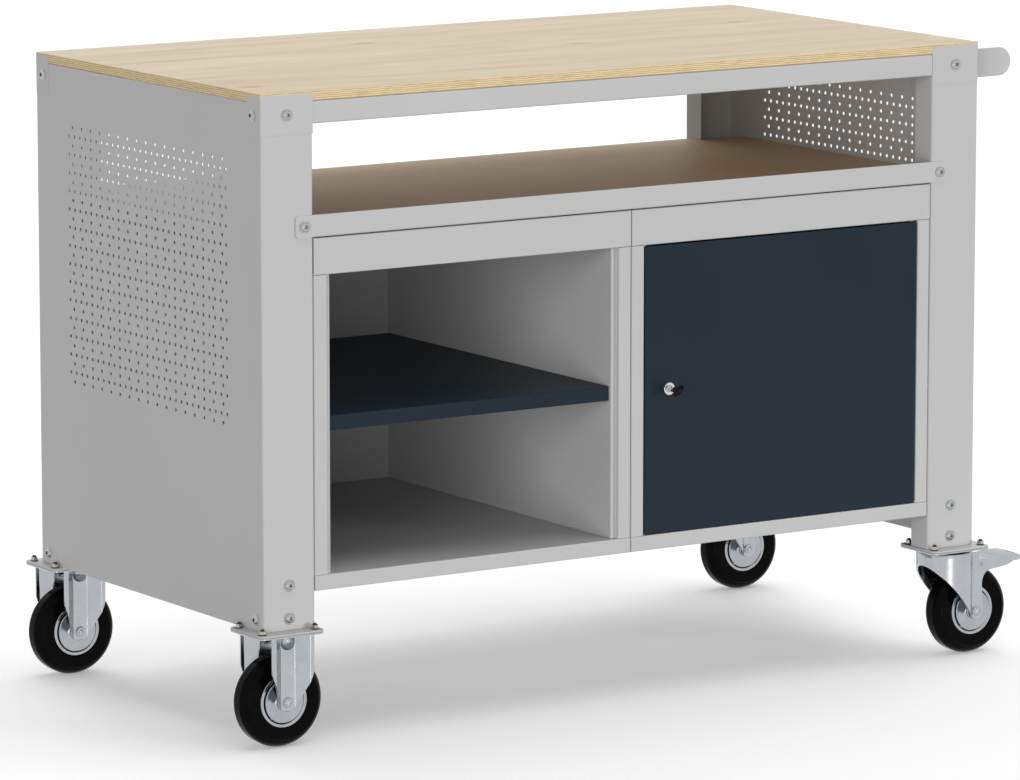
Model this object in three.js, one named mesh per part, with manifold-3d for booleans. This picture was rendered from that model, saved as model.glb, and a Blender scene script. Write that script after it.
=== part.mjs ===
// Mobile workbench with two cabinet modules: plywood top, sheet-steel end walls, a tray shelf
// under an open slot, one open and one lockable cabinet, two fixed and two braked swivel castors.
// Millimetres, +Z up, front towards -Y. The origin is on the floor, at the middle of the whole object's box.

import * as THREE from 'three';
import { mergeVertices } from 'three/addons/utils/BufferGeometryUtils.js';
import Module from 'manifold-3d';

const wasm = await Module();
wasm.setup();

// Body
const bodyWidth = 1160;
const bodyDepth = 600;
const bodySheet = 1.5;
const seam = 0.2;
const boardThickness = 13;

// End walls
const postFace = 79;
const postReturn = 38;
const bracketHeight = 52.5;
const bracketSideLeg = 34.5;
const bracketBelowTop = 3;

// Fasteners
const screwHeadDiameter = 16;
const screwHeadHeight = 3;
const sideScrewInset = 20;
const lowScrewHeights = [16, 60];
const lowSideScrewHeight = 15;
const nutAcrossFlats = 13;
const nutHeight = 6.5;
const boltPitchX = 80;
const boltPitchY = 60;

// Heights, from the castors up
const wheelDiameter = 125;
const castorHead = 30;
const footThickness = 2.5;
const cabinetClearance = 48;
const cabinetLip = 20.5;
const openingHeight = 398.5;
const fasciaHeight = 50;
const trayGap = 0.7;
const trayLip = 29.5;
const slotHeight = 119.5;
const railHeight = 30;
const railFlange = 30;
const railHem = 15;

// Tray shelf
const trayRearSetback = 15;
const trayTab = 27.5;
const trayTabRadius = 5;
const trayNotchWidth = 5;
const trayNotchDepth = 3;

// Cabinet modules
const moduleGap = 1;
const moduleSheet = 1.2;
const moduleRearSetback = 23;
const stileFace = 20;
const stileFlange = 20;
const rebateDepth = 6.5;
const rebateStrip = 8;
const fasciaHem = 14;
const lipHem = 10;
const shelfDrop = 20;
const shelfFront = 10;
const shelfRearGap = 5;
const shelfSideGap = 1;
const leftShelfHeight = 209.5;
const rightShelfHeight = 150;
const lugReach = 9;
const lugLength = 30;
const lugThickness = 3;
const lugInset = 70;

// Door, hinge pins and lock
const doorThickness = 5.5;
const doorSheet = 1.2;
const doorSetback = 0.4;
const doorGap = 1.2;
const doorHingeGap = 1.5;
const pinDiameter = 3.4;
const pinInDoor = 18;
const pinBeyond = 3;
const pinClearance = 0.4;
const lockFromEdge = 40;
const lockBodyDiameter = 15;
const lockRoseDiameter = 17.5;
const lockRoseHeight = 2;
const lockBodyLength = 22;
const plugDiameter = 9;
const lockClearance = 0.3;
const camLength = 39;
const camWidth = 10;
const camThickness = 2.5;
const camEyeWidth = 14;
const camClearance = 1.5;
const keyThickness = 2.2;
const keyShank = 12;
const keyShankWidth = 7;
const keyBowDiameter = 19;
const keyHoleDiameter = 5;
const keyNeckAngle = Math.PI / 3;
const keyBladeLength = 16;
const keyBladeWidth = 6.4;
const keyBladeThickness = 2;
const keyTurn = Math.PI / 4;

// Push handle on the right end
const handleReach = 84;
const handleHeight = 40;
const handleSheet = 3;
const handleBend = 8;
const handleFlange = 30;
const handleInset = 36;
const handleBelowBoard = 22;
const handleTubeDiameter = 26;

// Castors
const castorInsetX = 33;
const castorInsetY = 21;
const plateLength = 100;
const plateWidth = 85;
const plateRadius = 10;
const plateThickness = 2.5;
const footTongue = 74;
const footTongueWidth = 50;
const footTongueDepth = 28;
const wheelWidth = 37.5;
const wheelSides = 30;
const rimDiameter = 71;
const rimWidth = 34;
const rimWall = 4;
const rimStep = 3;
const discThickness = 6;
const hubDiameter = 26;
const hubGap = 0.3;
const guardDiameter = 58;
const guardThickness = 1.5;
const guardProud = 2;
const tyreGap = 0.3;
const treadWidth = 8.2;
const treadEdgeWidth = 23.2;
const treadEdgeDrop = 2.8;
const shoulderDrop = 11.2;
const forkGap = 49;
const forkSheet = 2.5;
const axleDiameter = 10;
const axleClearance = 0.4;
const axleHeadDiameter = 15;
const axleHeadHeight = 2.5;
const troughHalf = 11;
const wingHalf = 32;
const wingRim = 6;
const wingSetback = 0.5;
const wingTaperDrop = 53;
const troughBelowAxle = 10.5;
const swivelTrail = 37;
const headRadius = 40;
const headSkirt = 16;
const forkEyeRadius = 12;
const legWaist = 9;
const legWaistDrop = 55;
const earEnd = 60;
const earBottomDrop = 36;
const earTopDrop = 19;
const crownThickness = 5;
const kingpinDiameter = 20;
const kingpinFlange = 32;
const kingpinFlangeHeight = 4;
const swivelGap = 0.4;
const pedalPivotX = 47;
const pedalPivotDrop = 27;
const pedalPinDiameter = 6;
const pedalSheet = 2.5;
const pedalClearance = 0.3;
const pedalStart = 33;
const pedalTopDrop = 16.5;
const pedalBend = 92;
const pedalReach = 130;
const pedalTipDrop = 9;
const cheekRise = 7.5;
const cheekEnd = 97;

// Levels and edges worked out from the sizes above
const halfWidth = bodyWidth / 2;
const castorHeight = wheelDiameter + castorHead;
const postBottom = castorHeight + footThickness + seam;
const moduleBottom = postBottom + cabinetClearance;
const floorTop = moduleBottom + cabinetLip;
const openingTop = floorTop + openingHeight;
const moduleTop = openingTop + fasciaHeight;
const trayBottom = moduleTop + trayGap;
const trayTop = trayBottom + trayLip;
const railBottom = trayTop + slotHeight;
const boardBottom = railBottom + railHeight + seam;
const boardTop = boardBottom + boardThickness;
const postTop = boardBottom - seam;
const moduleWidth = (bodyWidth - 2 * postFace - 3 * moduleGap) / 2;
const moduleDepth = bodyDepth - moduleRearSetback;
const stileReach = stileFace + rebateStrip;

// Finishes
function finish(color, roughness, metalness) {
  return new THREE.MeshStandardMaterial({ color, roughness, metalness });
}
const greyPaint = finish('#bebebe', 0.55, 0.1);
const darkPaint = finish('#2f363f', 0.5, 0.1);
const plywood = finish('#d8cdb0', 0.6, 0);
const zinc = finish('#b0b4b8', 0.35, 0.9);
const chrome = finish('#d0d2d4', 0.2, 1);
const rubber = finish('#0e0e0e', 0.8, 0);
const keyBlack = finish('#1a1a1c', 0.45, 0);

// Shape helpers

function block([x0, x1], [y0, y1], [z0, z1]) {
  const box = new THREE.BoxGeometry(x1 - x0, y1 - y0, z1 - z0);
  return box.translate((x0 + x1) / 2, (y0 + y1) / 2, (z0 + z1) / 2);
}

function polygon(points) {
  return new THREE.Shape(points.map(([a, b]) => new THREE.Vector2(a, b)));
}

function roundedRectangle([a0, a1], [b0, b1], radius) {
  const shape = new THREE.Shape();
  const quarter = Math.PI / 2;
  shape.absarc(a0 + radius, b0 + radius, radius, 2 * quarter, 3 * quarter);
  shape.absarc(a1 - radius, b0 + radius, radius, 3 * quarter, 4 * quarter);
  shape.absarc(a1 - radius, b1 - radius, radius, 0, quarter);
  shape.absarc(a0 + radius, b1 - radius, radius, quarter, 2 * quarter);
  return shape;
}

// A folded sheet's section: its path is one face, and its thickness lies to the left of the path
function foldedSheet(path, thickness) {
  const corners = path.map(([a, b]) => new THREE.Vector2(a, b));
  const normals = corners.slice(1).map((corner, i) => {
    const run = corner.clone().sub(corners[i]).normalize();
    return new THREE.Vector2(-run.y, run.x);
  });
  const inner = corners.map((corner, i) => {
    const before = normals[Math.max(i - 1, 0)];
    const after = normals[Math.min(i, normals.length - 1)];
    const mitre = before.clone().add(after).divideScalar(1 + before.dot(after));
    return corner.clone().addScaledVector(mitre, thickness);
  });
  return new THREE.Shape([...corners, ...inner.reverse()]);
}

function extrudeUp(shape, z0, z1, curveSegments = 4) {
  const body = new THREE.ExtrudeGeometry(shape, { depth: z1 - z0, bevelEnabled: false, curveSegments });
  return body.translate(0, 0, z0);
}

// The shape's axes are X and Z
function extrudeBack(shape, y0, y1, curveSegments = 4) {
  const body = new THREE.ExtrudeGeometry(shape, { depth: y1 - y0, bevelEnabled: false, curveSegments });
  return body.rotateX(Math.PI / 2).translate(0, y1, 0);
}

// The shape's axes are Y and Z
function extrudeAcross(shape, x0, x1) {
  const body = new THREE.ExtrudeGeometry(shape, { depth: x1 - x0, bevelEnabled: false, curveSegments: 4 });
  const turn = new THREE.Matrix4().makeBasis(
    new THREE.Vector3(0, 1, 0),
    new THREE.Vector3(0, 0, 1),
    new THREE.Vector3(1, 0, 0),
  );
  return body.applyMatrix4(turn).translate(x0, 0, 0);
}

// A round bar along X, Y or Z whose flats lie at its diameter
function barAlongY(diameter, y0, y1, sides = 16) {
  const radius = diameter / 2 / Math.cos(Math.PI / sides);
  const bar = new THREE.CylinderGeometry(radius, radius, y1 - y0, sides);
  return bar.rotateY(Math.PI / sides).translate(0, (y0 + y1) / 2, 0);
}

function barAlongX(diameter, x0, x1, sides = 16) {
  return barAlongY(diameter, x0, x1, sides).rotateZ(-Math.PI / 2);
}

function barAlongZ(diameter, z0, z1, sides = 16) {
  return barAlongY(diameter, z0, z1, sides).rotateX(Math.PI / 2);
}

function solid(geometry) {
  const bare = geometry.clone();
  bare.deleteAttribute('normal');
  bare.deleteAttribute('uv');
  const merged = mergeVertices(bare);
  return new wasm.Manifold(new wasm.Mesh({
    numProp: 3,
    vertProperties: new Float32Array(merged.attributes.position.array),
    triVerts: new Uint32Array(merged.index.array),
  }));
}

function geometryOf(manifold) {
  const { vertProperties, triVerts } = manifold.getMesh();
  const geometry = new THREE.BufferGeometry();
  geometry.setAttribute('position', new THREE.BufferAttribute(vertProperties, 3));
  geometry.setIndex(new THREE.BufferAttribute(triVerts, 1));
  geometry.computeVertexNormals();
  return geometry;
}

function join(...pieces) {
  return geometryOf(pieces.map(solid).reduce((whole, piece) => whole.add(piece)));
}

function cut(piece, ...tools) {
  return geometryOf(tools.map(solid).reduce((whole, tool) => whole.subtract(tool), solid(piece)));
}

// A copy mirrored in X or Y, with its faces turned to point out again
function mirrored(geometry, axis) {
  const flipped = geometry.index ? geometry.toNonIndexed() : geometry.clone();
  flipped.scale(axis === 'x' ? -1 : 1, axis === 'y' ? -1 : 1, 1);
  const place = flipped.attributes.position;
  for (let i = 0; i < place.count; i += 3) {
    const [x, y, z] = [place.getX(i + 1), place.getY(i + 1), place.getZ(i + 1)];
    place.setXYZ(i + 1, place.getX(i + 2), place.getY(i + 2), place.getZ(i + 2));
    place.setXYZ(i + 2, x, y, z);
  }
  flipped.computeVertexNormals();
  return flipped;
}

const bench = new THREE.Group();

function add(name, geometry, material, parent = bench) {
  const mesh = new THREE.Mesh(geometry, material);
  mesh.name = name;
  parent.add(mesh);
  return mesh;
}

// The four corners: a piece is made for the front right corner and mirrored to the others.
// Places on it are measured from the body's middle plane in X and from mid-depth in Y.
const corners = [
  { name: 'front_left', left: true, rear: false },
  { name: 'front_right', left: false, rear: false },
  { name: 'rear_left', left: true, rear: true },
  { name: 'rear_right', left: false, rear: true },
];
const frontPlane = -bodyDepth / 2;
const rearPlane = bodyDepth / 2;

function atCorner(geometry, corner) {
  const sided = corner.left ? mirrored(geometry, 'x') : geometry;
  return corner.rear ? mirrored(sided, 'y') : sided;
}

// Worktop and top rails

add('worktop', block([-halfWidth, halfWidth], [frontPlane, rearPlane], [boardBottom, boardTop]), plywood);

const railEnd = halfWidth - postFace - seam;
const railSection = foldedSheet([
  [frontPlane + railFlange, railBottom + railHeight],
  [frontPlane, railBottom + railHeight],
  [frontPlane, railBottom],
  [frontPlane + railHem, railBottom],
], bodySheet);
const frontRail = extrudeAcross(railSection, -railEnd, railEnd);
add('front_top_rail', frontRail, greyPaint);
add('rear_top_rail', mirrored(frontRail, 'y'), greyPaint);

// Screw heads, sunk half a sheet into the front or the right-hand face that they hold

function frontScrew(face) {
  return barAlongY(screwHeadDiameter, face - screwHeadHeight, face + bodySheet / 2, 12);
}

function sideScrew(face) {
  return barAlongX(screwHeadDiameter, face - bodySheet / 2, face + screwHeadHeight, 12);
}

// Side panels, each with a screw low at its front and rear

function sidePanel() {
  const outline = polygon([
    [frontPlane, postBottom],
    [rearPlane, postBottom],
    [rearPlane, postTop],
    [frontPlane, postTop],
  ]);
  const sheet = extrudeAcross(outline, halfWidth - bodySheet, halfWidth);
  const screwZ = postBottom + lowSideScrewHeight;
  const screws = [frontPlane + sideScrewInset, rearPlane - sideScrewInset].map((y) => (
    sideScrew(halfWidth).translate(0, y, screwZ)
  ));
  return join(sheet, ...screws);
}
add('right_side_panel', sidePanel(), greyPaint);
add('left_side_panel', mirrored(sidePanel(), 'x'), greyPaint);

// Corner posts: folded channels that lie inside the side panels, screwed to the feet at the bottom

const postOuter = halfWidth - bodySheet - seam;
const postInner = halfWidth - postFace;
const postMiddle = halfWidth - postFace / 2;

function post() {
  const section = foldedSheet([
    [postInner, frontPlane + postReturn],
    [postInner, frontPlane],
    [postOuter, frontPlane],
    [postOuter, frontPlane + postReturn],
  ], bodySheet);
  const screws = lowScrewHeights.map((height) => (
    frontScrew(frontPlane).translate(postMiddle, 0, postBottom + height)
  ));
  return join(extrudeUp(section, postBottom, postTop), ...screws);
}

// Corner brackets: thin angles over the post tops and the board's corners, with a screw in each leg

function bracket() {
  const front = frontPlane - seam - bodySheet;
  const side = halfWidth + seam + bodySheet;
  const section = foldedSheet([
    [postInner, front],
    [side, front],
    [side, frontPlane + bracketSideLeg],
  ], bodySheet);
  const top = boardTop - bracketBelowTop;
  const middle = top - bracketHeight / 2;
  return join(
    extrudeUp(section, top - bracketHeight, top),
    frontScrew(front).translate(postMiddle, 0, middle),
    sideScrew(side).translate(0, frontPlane + sideScrewInset, middle),
  );
}

// Feet: a plate over each castor with the castor's nuts on it, and tongues up the inside of the post

const castorX = halfWidth - castorInsetX;
const castorY = frontPlane + castorInsetY;

// A plate about the castor's own axis
function castorPlate(z0, z1) {
  const outline = roundedRectangle(
    [-plateLength / 2, plateLength / 2],
    [-plateWidth / 2, plateWidth / 2],
    plateRadius,
  );
  return extrudeUp(outline, z0, z1);
}

function foot() {
  const innerFront = frontPlane + bodySheet + seam;
  const innerSide = postOuter - bodySheet - seam;
  const tongue = foldedSheet([
    [innerSide - footTongueWidth, innerFront],
    [innerSide, innerFront],
    [innerSide, innerFront + footTongueDepth],
  ], footThickness);
  const plateTop = castorHeight + footThickness;
  const nut = barAlongZ(nutAcrossFlats, castorHeight + seam, plateTop + nutHeight, 6).rotateZ(Math.PI / 6);
  const nuts = [-boltPitchX / 2, boltPitchX / 2].flatMap((x) => (
    [-boltPitchY / 2, boltPitchY / 2].map((y) => nut.clone().translate(x, y, 0))
  ));
  const plate = join(castorPlate(castorHeight, plateTop), ...nuts);
  return join(
    plate.translate(castorX, castorY, 0),
    extrudeUp(tongue, castorHeight, plateTop + footTongue),
  );
}

for (const corner of corners) {
  add(`${corner.name}_post`, atCorner(post(), corner), greyPaint);
  add(`${corner.name}_bracket`, atCorner(bracket(), corner), greyPaint);
  add(`${corner.name}_foot`, atCorner(foot(), corner), greyPaint);
}

// Tray shelf: a floor notched round the posts, with an upright front lip and a screw tab at each end

function trayShelf() {
  const side = halfWidth - bodySheet - seam;
  const neck = postInner - seam;
  const front = frontPlane - seam - bodySheet;
  const rear = rearPlane - trayRearSetback;
  const frontNotch = frontPlane + postReturn + seam;
  const rearNotch = rearPlane - postReturn - seam;
  const floor = polygon([
    [-neck, front],
    [neck, front],
    [neck, frontNotch],
    [side, frontNotch],
    [side, rearNotch],
    [neck, rearNotch],
    [neck, rear],
    [trayNotchWidth / 2, rear],
    [trayNotchWidth / 2, rear - trayNotchDepth],
    [-trayNotchWidth / 2, rear - trayNotchDepth],
    [-trayNotchWidth / 2, rear],
    [-neck, rear],
    [-neck, rearNotch],
    [-side, rearNotch],
    [-side, frontNotch],
    [-neck, frontNotch],
  ]);
  const lipEnd = postInner + trayTab;
  const lip = roundedRectangle([-lipEnd, lipEnd], [trayBottom, trayTop], trayTabRadius);
  const screwX = postInner + trayTab / 2;
  const screws = [-screwX, screwX].map((x) => (
    frontScrew(front).translate(x, 0, (trayBottom + trayTop) / 2)
  ));
  return join(
    extrudeUp(floor, trayBottom, trayBottom + bodySheet),
    extrudeBack(lip, front, front + bodySheet),
    ...screws,
  );
}
add('tray_shelf', trayShelf(), greyPaint);

// Push handle: two bent cheeks on the right end and a tube between them

const handleCentre = boardBottom - handleBelowBoard;
const handleTubeX = halfWidth + handleReach - handleHeight / 2;

function handleCheek() {
  const outerX = halfWidth + seam;
  const front = frontPlane + handleInset;
  const plan = new THREE.Shape();
  plan.moveTo(outerX, front + handleFlange);
  plan.lineTo(outerX, front + handleBend);
  plan.absarc(outerX + handleBend, front + handleBend, handleBend, Math.PI, 1.5 * Math.PI);
  plan.lineTo(halfWidth + handleReach, front);
  plan.lineTo(halfWidth + handleReach, front + handleSheet);
  plan.lineTo(outerX + handleBend, front + handleSheet);
  const innerBend = handleBend - handleSheet;
  plan.absarc(outerX + handleBend, front + handleBend, innerBend, 1.5 * Math.PI, Math.PI, true);
  plan.lineTo(outerX + handleSheet, front + handleFlange);
  const bar = extrudeUp(plan, handleCentre - handleHeight / 2, handleCentre + handleHeight / 2);
  const side = new THREE.Shape();
  side.moveTo(outerX, handleCentre - handleHeight / 2);
  side.absarc(handleTubeX, handleCentre, handleHeight / 2, -Math.PI / 2, Math.PI / 2);
  side.lineTo(outerX, handleCentre + handleHeight / 2);
  const outline = extrudeBack(side, front, front + handleFlange, 8);
  return geometryOf(solid(bar).intersect(solid(outline)));
}
add('handle_front_cheek', handleCheek(), greyPaint);
add('handle_rear_cheek', mirrored(handleCheek(), 'y'), greyPaint);
const tubeEnd = bodyDepth / 2 - handleInset - handleSheet - seam;
const handleTube = barAlongY(handleTubeDiameter, -tubeEnd, tubeEnd, 20);
add('handle_tube', handleTube.translate(handleTubeX, 0, handleCentre), greyPaint);

// Cabinet modules. Each is built between its outer edges x0 and x1, front face on the front plane.

const backFace = frontPlane + moduleDepth - moduleSheet;
const doorLeft = moduleGap / 2 + stileFace + doorGap;
const doorRight = halfWidth - postFace - moduleGap - stileFace - doorHingeGap;
const doorBottom = floorTop + doorGap;
const doorTop = openingTop - doorGap;
const doorFront = frontPlane + doorSetback;
const doorBack = doorFront + doorThickness;
const pivotX = doorRight - doorThickness / 2;
const pivotY = doorFront + doorThickness / 2;
const pinHole = pinDiameter + 2 * pinClearance;
const lockX = doorLeft + lockFromEdge;
const lockZ = (doorBottom + doorTop) / 2;
const barrelEnd = doorFront + lockBodyLength;
const camFront = barrelEnd + lockClearance;

// One wall made for the left side: stile, door rebate and side sheet in one fold, with two shelf lugs
function cabinetWall(x0, shelfTop) {
  const wallFace = x0 + stileReach;
  const section = foldedSheet([
    [x0, frontPlane + stileFlange],
    [x0, frontPlane],
    [x0 + stileFace, frontPlane],
    [x0 + stileFace, frontPlane + rebateDepth],
    [wallFace, frontPlane + rebateDepth],
    [wallFace, backFace - seam],
  ], moduleSheet);
  const upper = block(
    [wallFace - moduleSheet, wallFace],
    [frontPlane + fasciaHem + seam, backFace - seam],
    [openingTop - seam - moduleSheet, moduleTop - moduleSheet - seam],
  );
  const lugTop = shelfTop - shelfDrop - seam;
  const lugPlaces = [frontPlane + lugInset, backFace - lugInset - lugLength];
  const lugs = lugPlaces.map((y) => block(
    [wallFace - moduleSheet, wallFace + lugReach],
    [y, y + lugLength],
    [lugTop - lugThickness, lugTop],
  ));
  return join(extrudeUp(section, floorTop + seam, openingTop - seam), upper, ...lugs);
}

function cabinetRoof(x0, x1) {
  const section = foldedSheet([
    [frontPlane + fasciaHem, openingTop],
    [frontPlane, openingTop],
    [frontPlane, moduleTop],
    [frontPlane + moduleDepth, moduleTop],
  ], -moduleSheet);
  return extrudeAcross(section, x0, x1);
}

function cabinetFloor(x0, x1) {
  const section = foldedSheet([
    [frontPlane + lipHem, moduleBottom],
    [frontPlane, moduleBottom],
    [frontPlane, floorTop],
    [frontPlane + moduleDepth, floorTop],
  ], -moduleSheet);
  return extrudeAcross(section, x0, x1);
}

function cabinetBack(x0, x1) {
  const height = [floorTop + seam, moduleTop - moduleSheet - seam];
  return block([x0, x1], [backFace, backFace + moduleSheet], height);
}

// A pan with its four edges folded down, so that its sides rest on the lugs
function cabinetShelf(x0, x1, shelfTop) {
  const inset = stileReach + shelfSideGap;
  const width = [x0 + inset, x1 - inset];
  const depth = [frontPlane + shelfFront, backFace - shelfRearGap];
  const inside = ([low, high]) => [low + moduleSheet, high - moduleSheet];
  const pocket = block(inside(width), inside(depth), [shelfTop - shelfDrop - seam, shelfTop - moduleSheet]);
  return cut(block(width, depth, [shelfTop - shelfDrop, shelfTop]), pocket);
}

const pinBore = barAlongZ(pinHole, moduleBottom - seam, moduleTop - fasciaHeight / 2, 12);
const pinTool = pinBore.translate(pivotX, pivotY, 0);

// The slot in the hinged cabinet's left wall that the cam swings into
function camSlot(wallFace) {
  const tip = Math.hypot(camLength, camWidth / 2);
  const rise = Math.sqrt(tip ** 2 - (lockX - wallFace) ** 2);
  return block(
    [wallFace - 2 * moduleSheet, wallFace + moduleSheet],
    [camFront - camClearance, camFront + camThickness + camClearance],
    [lockZ - camWidth / 2 - camClearance, lockZ + rise + camClearance],
  );
}

const modules = [
  { name: 'left_cabinet', x0: -moduleGap / 2 - moduleWidth, shelfHeight: leftShelfHeight, hinged: false },
  { name: 'right_cabinet', x0: moduleGap / 2, shelfHeight: rightShelfHeight, hinged: true },
];
for (const { name, x0, shelfHeight, hinged } of modules) {
  const x1 = x0 + moduleWidth;
  const shelfTop = floorTop + shelfHeight;
  const roof = cabinetRoof(x0, x1);
  const floor = cabinetFloor(x0, x1);
  const leftWall = cabinetWall(x0, shelfTop);
  add(`${name}_left_wall`, hinged ? cut(leftWall, camSlot(x0 + stileReach)) : leftWall, greyPaint);
  add(`${name}_right_wall`, mirrored(cabinetWall(-x1, shelfTop), 'x'), greyPaint);
  add(`${name}_roof`, hinged ? cut(roof, pinTool) : roof, greyPaint);
  add(`${name}_floor`, hinged ? cut(floor, pinTool) : floor, greyPaint);
  add(`${name}_back`, cabinetBack(x0, x1), greyPaint);
  add(`${name}_shelf`, cabinetShelf(x0, x1, shelfTop), darkPaint);
}

// Door: a shallow pan whose hinge edge is rolled round the pins

function doorPanel() {
  const plan = new THREE.Shape();
  plan.moveTo(doorLeft, doorFront);
  plan.lineTo(pivotX, doorFront);
  plan.absarc(pivotX, pivotY, doorThickness / 2, -Math.PI / 2, Math.PI / 2);
  plan.lineTo(doorLeft, doorBack);
  const pocket = block(
    [doorLeft + doorSheet, pivotX - doorThickness / 2],
    [doorFront + doorSheet, doorBack + doorThickness],
    [doorBottom + doorSheet, doorTop - doorSheet],
  );
  const bore = barAlongY(lockBodyDiameter + 2 * lockClearance, doorFront - doorSheet, doorBack);
  const pinBores = [
    barAlongZ(pinHole, doorTop - pinInDoor - seam, doorTop + doorGap, 12),
    barAlongZ(pinHole, doorBottom - doorGap, doorBottom + pinInDoor + seam, 12),
  ].map((pocketBore) => pocketBore.translate(pivotX, pivotY, 0));
  return cut(extrudeUp(plan, doorBottom, doorTop, 8), pocket, bore.translate(lockX, 0, lockZ), ...pinBores);
}
add('door_panel', doorPanel(), darkPaint);

const pinReach = doorGap + moduleSheet + pinBeyond;
const topPin = barAlongZ(pinDiameter, doorTop - pinInDoor, doorTop + pinReach, 12);
const bottomPin = barAlongZ(pinDiameter, doorBottom - pinReach, doorBottom + pinInDoor, 12);
add('door_top_pin', topPin.translate(pivotX, pivotY, 0), zinc);
add('door_bottom_pin', bottomPin.translate(pivotX, pivotY, 0), zinc);

// Cylinder lock: rose and barrel on the door, and a plug that turns with the key and the cam

const roseFront = doorFront - seam - lockRoseHeight;
const plugBoreDiameter = plugDiameter + 2 * lockClearance;
const lockHousing = cut(
  join(
    barAlongY(lockRoseDiameter, roseFront, doorFront - seam, 24),
    barAlongY(lockBodyDiameter, roseFront, barrelEnd),
  ),
  barAlongY(plugBoreDiameter, roseFront - lockRoseHeight, barrelEnd + lockRoseHeight),
);
add('lock_housing', lockHousing.translate(lockX, 0, lockZ), chrome);

// The key's blade standing upright, or its way in the plug when a clearance is given
function keyBlade(y0, clearance) {
  const halfThickness = keyBladeThickness / 2 + clearance;
  const halfBlade = keyBladeWidth / 2 + clearance;
  return block(
    [-halfThickness, halfThickness],
    [y0, roseFront + keyBladeLength + clearance],
    [-halfBlade, halfBlade],
  );
}

const plugBar = barAlongY(plugDiameter, roseFront, camFront - seam);
const keyway = keyBlade(roseFront - lockRoseHeight, lockClearance).rotateY(keyTurn);
const lockPlug = cut(plugBar, keyway);
add('lock_plug', lockPlug.translate(lockX, 0, lockZ), chrome);

function lockCam() {
  const outline = new THREE.Shape();
  outline.absarc(0, 0, camEyeWidth / 2, Math.PI, 2 * Math.PI);
  outline.lineTo(camWidth / 2, camLength);
  outline.lineTo(-camWidth / 2, camLength);
  return extrudeBack(outline, camFront, camFront + camThickness, 8);
}
add('lock_cam', lockCam().translate(lockX, 0, lockZ), zinc);

function key() {
  const shankEnd = roseFront - seam;
  const bowFar = keyShank + keyBowDiameter;
  const outline = new THREE.Shape();
  const bowRadius = keyBowDiameter / 2;
  outline.moveTo(shankEnd, -keyShankWidth / 2);
  outline.lineTo(shankEnd, keyShankWidth / 2);
  outline.lineTo(shankEnd - keyShank, keyShankWidth / 2);
  const bowCentre = shankEnd - keyShank - bowRadius;
  outline.absarc(bowCentre, 0, bowRadius, keyNeckAngle, 2 * Math.PI - keyNeckAngle);
  outline.lineTo(shankEnd - keyShank, -keyShankWidth / 2);
  const eye = new THREE.Path();
  eye.absarc(shankEnd - bowFar + keyHoleDiameter, 0, keyHoleDiameter / 2, 0, 2 * Math.PI);
  outline.holes.push(eye);
  const bow = extrudeAcross(outline, -keyThickness / 2, keyThickness / 2);
  return join(bow, keyBlade(shankEnd - keyShank / 2, 0)).rotateY(keyTurn);
}
add('key', key().translate(lockX, 0, lockZ), keyBlack);

// Castors, built about a wheel's middle plane and set under the feet

const wheelRadius = wheelDiameter / 2;
const plateBottom = castorHeight - seam - plateThickness;
const legInner = forkGap / 2;
const legOuter = legInner + forkSheet;
const axleHole = axleDiameter + 2 * axleClearance;
const wingTaperTop = castorHeight - wingTaperDrop;
const troughTip = wheelRadius - troughBelowAxle;
const legWaistHeight = castorHeight - legWaistDrop;
const earBottom = castorHeight - earBottomDrop;
const earTop = castorHeight - earTopDrop;
const pedalPivotHeight = castorHeight - pedalPivotDrop;
const pedalTop = castorHeight - pedalTopDrop;

// A turned ring about the Y axis, with a flat of its facets straight down
function turned(profile) {
  const outward = 1 / Math.cos(Math.PI / wheelSides);
  const points = [...profile, profile[0]].map(([r, y]) => new THREE.Vector2(r * outward, y));
  return new THREE.LatheGeometry(points, wheelSides, Math.PI / wheelSides);
}

// The two halves of a turned section, given from its middle outwards on the -Y side
function bothSides(half) {
  return [...half, ...half.map(([r, y]) => [r, -y]).reverse()];
}

function rim() {
  const drum = rimDiameter / 2;
  const hub = hubDiameter / 2;
  const guardFace = rimWidth / 2 + guardProud;
  return turned(bothSides([
    [axleHole / 2, -legInner + hubGap],
    [hub, -legInner + hubGap],
    [hub, -guardFace],
    [guardDiameter / 2, -guardFace],
    [guardDiameter / 2, -guardFace + guardThickness],
    [hub, -guardFace + guardThickness],
    [hub, -discThickness / 2],
    [drum - rimWall - rimStep, -discThickness / 2],
    [drum - rimWall, -rimWidth / 2],
    [drum, -rimWidth / 2],
  ]));
}

function tyre() {
  const shoulder = wheelWidth / 2;
  const seat = rimDiameter / 2 + tyreGap;
  return turned(bothSides([
    [seat, -rimWidth / 2],
    [wheelRadius - shoulderDrop, -shoulder],
    [wheelRadius - treadEdgeDrop, -treadEdgeWidth / 2],
    [wheelRadius, -treadWidth / 2],
  ]));
}

function axle() {
  const headEnd = legOuter + seam + axleHeadHeight;
  return join(
    barAlongY(axleDiameter, -headEnd, headEnd),
    barAlongY(axleHeadDiameter, -headEnd, -legOuter - seam),
    barAlongY(axleHeadDiameter, legOuter + seam, headEnd),
  );
}

const across = [-legOuter - forkSheet, legOuter + forkSheet];

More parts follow.
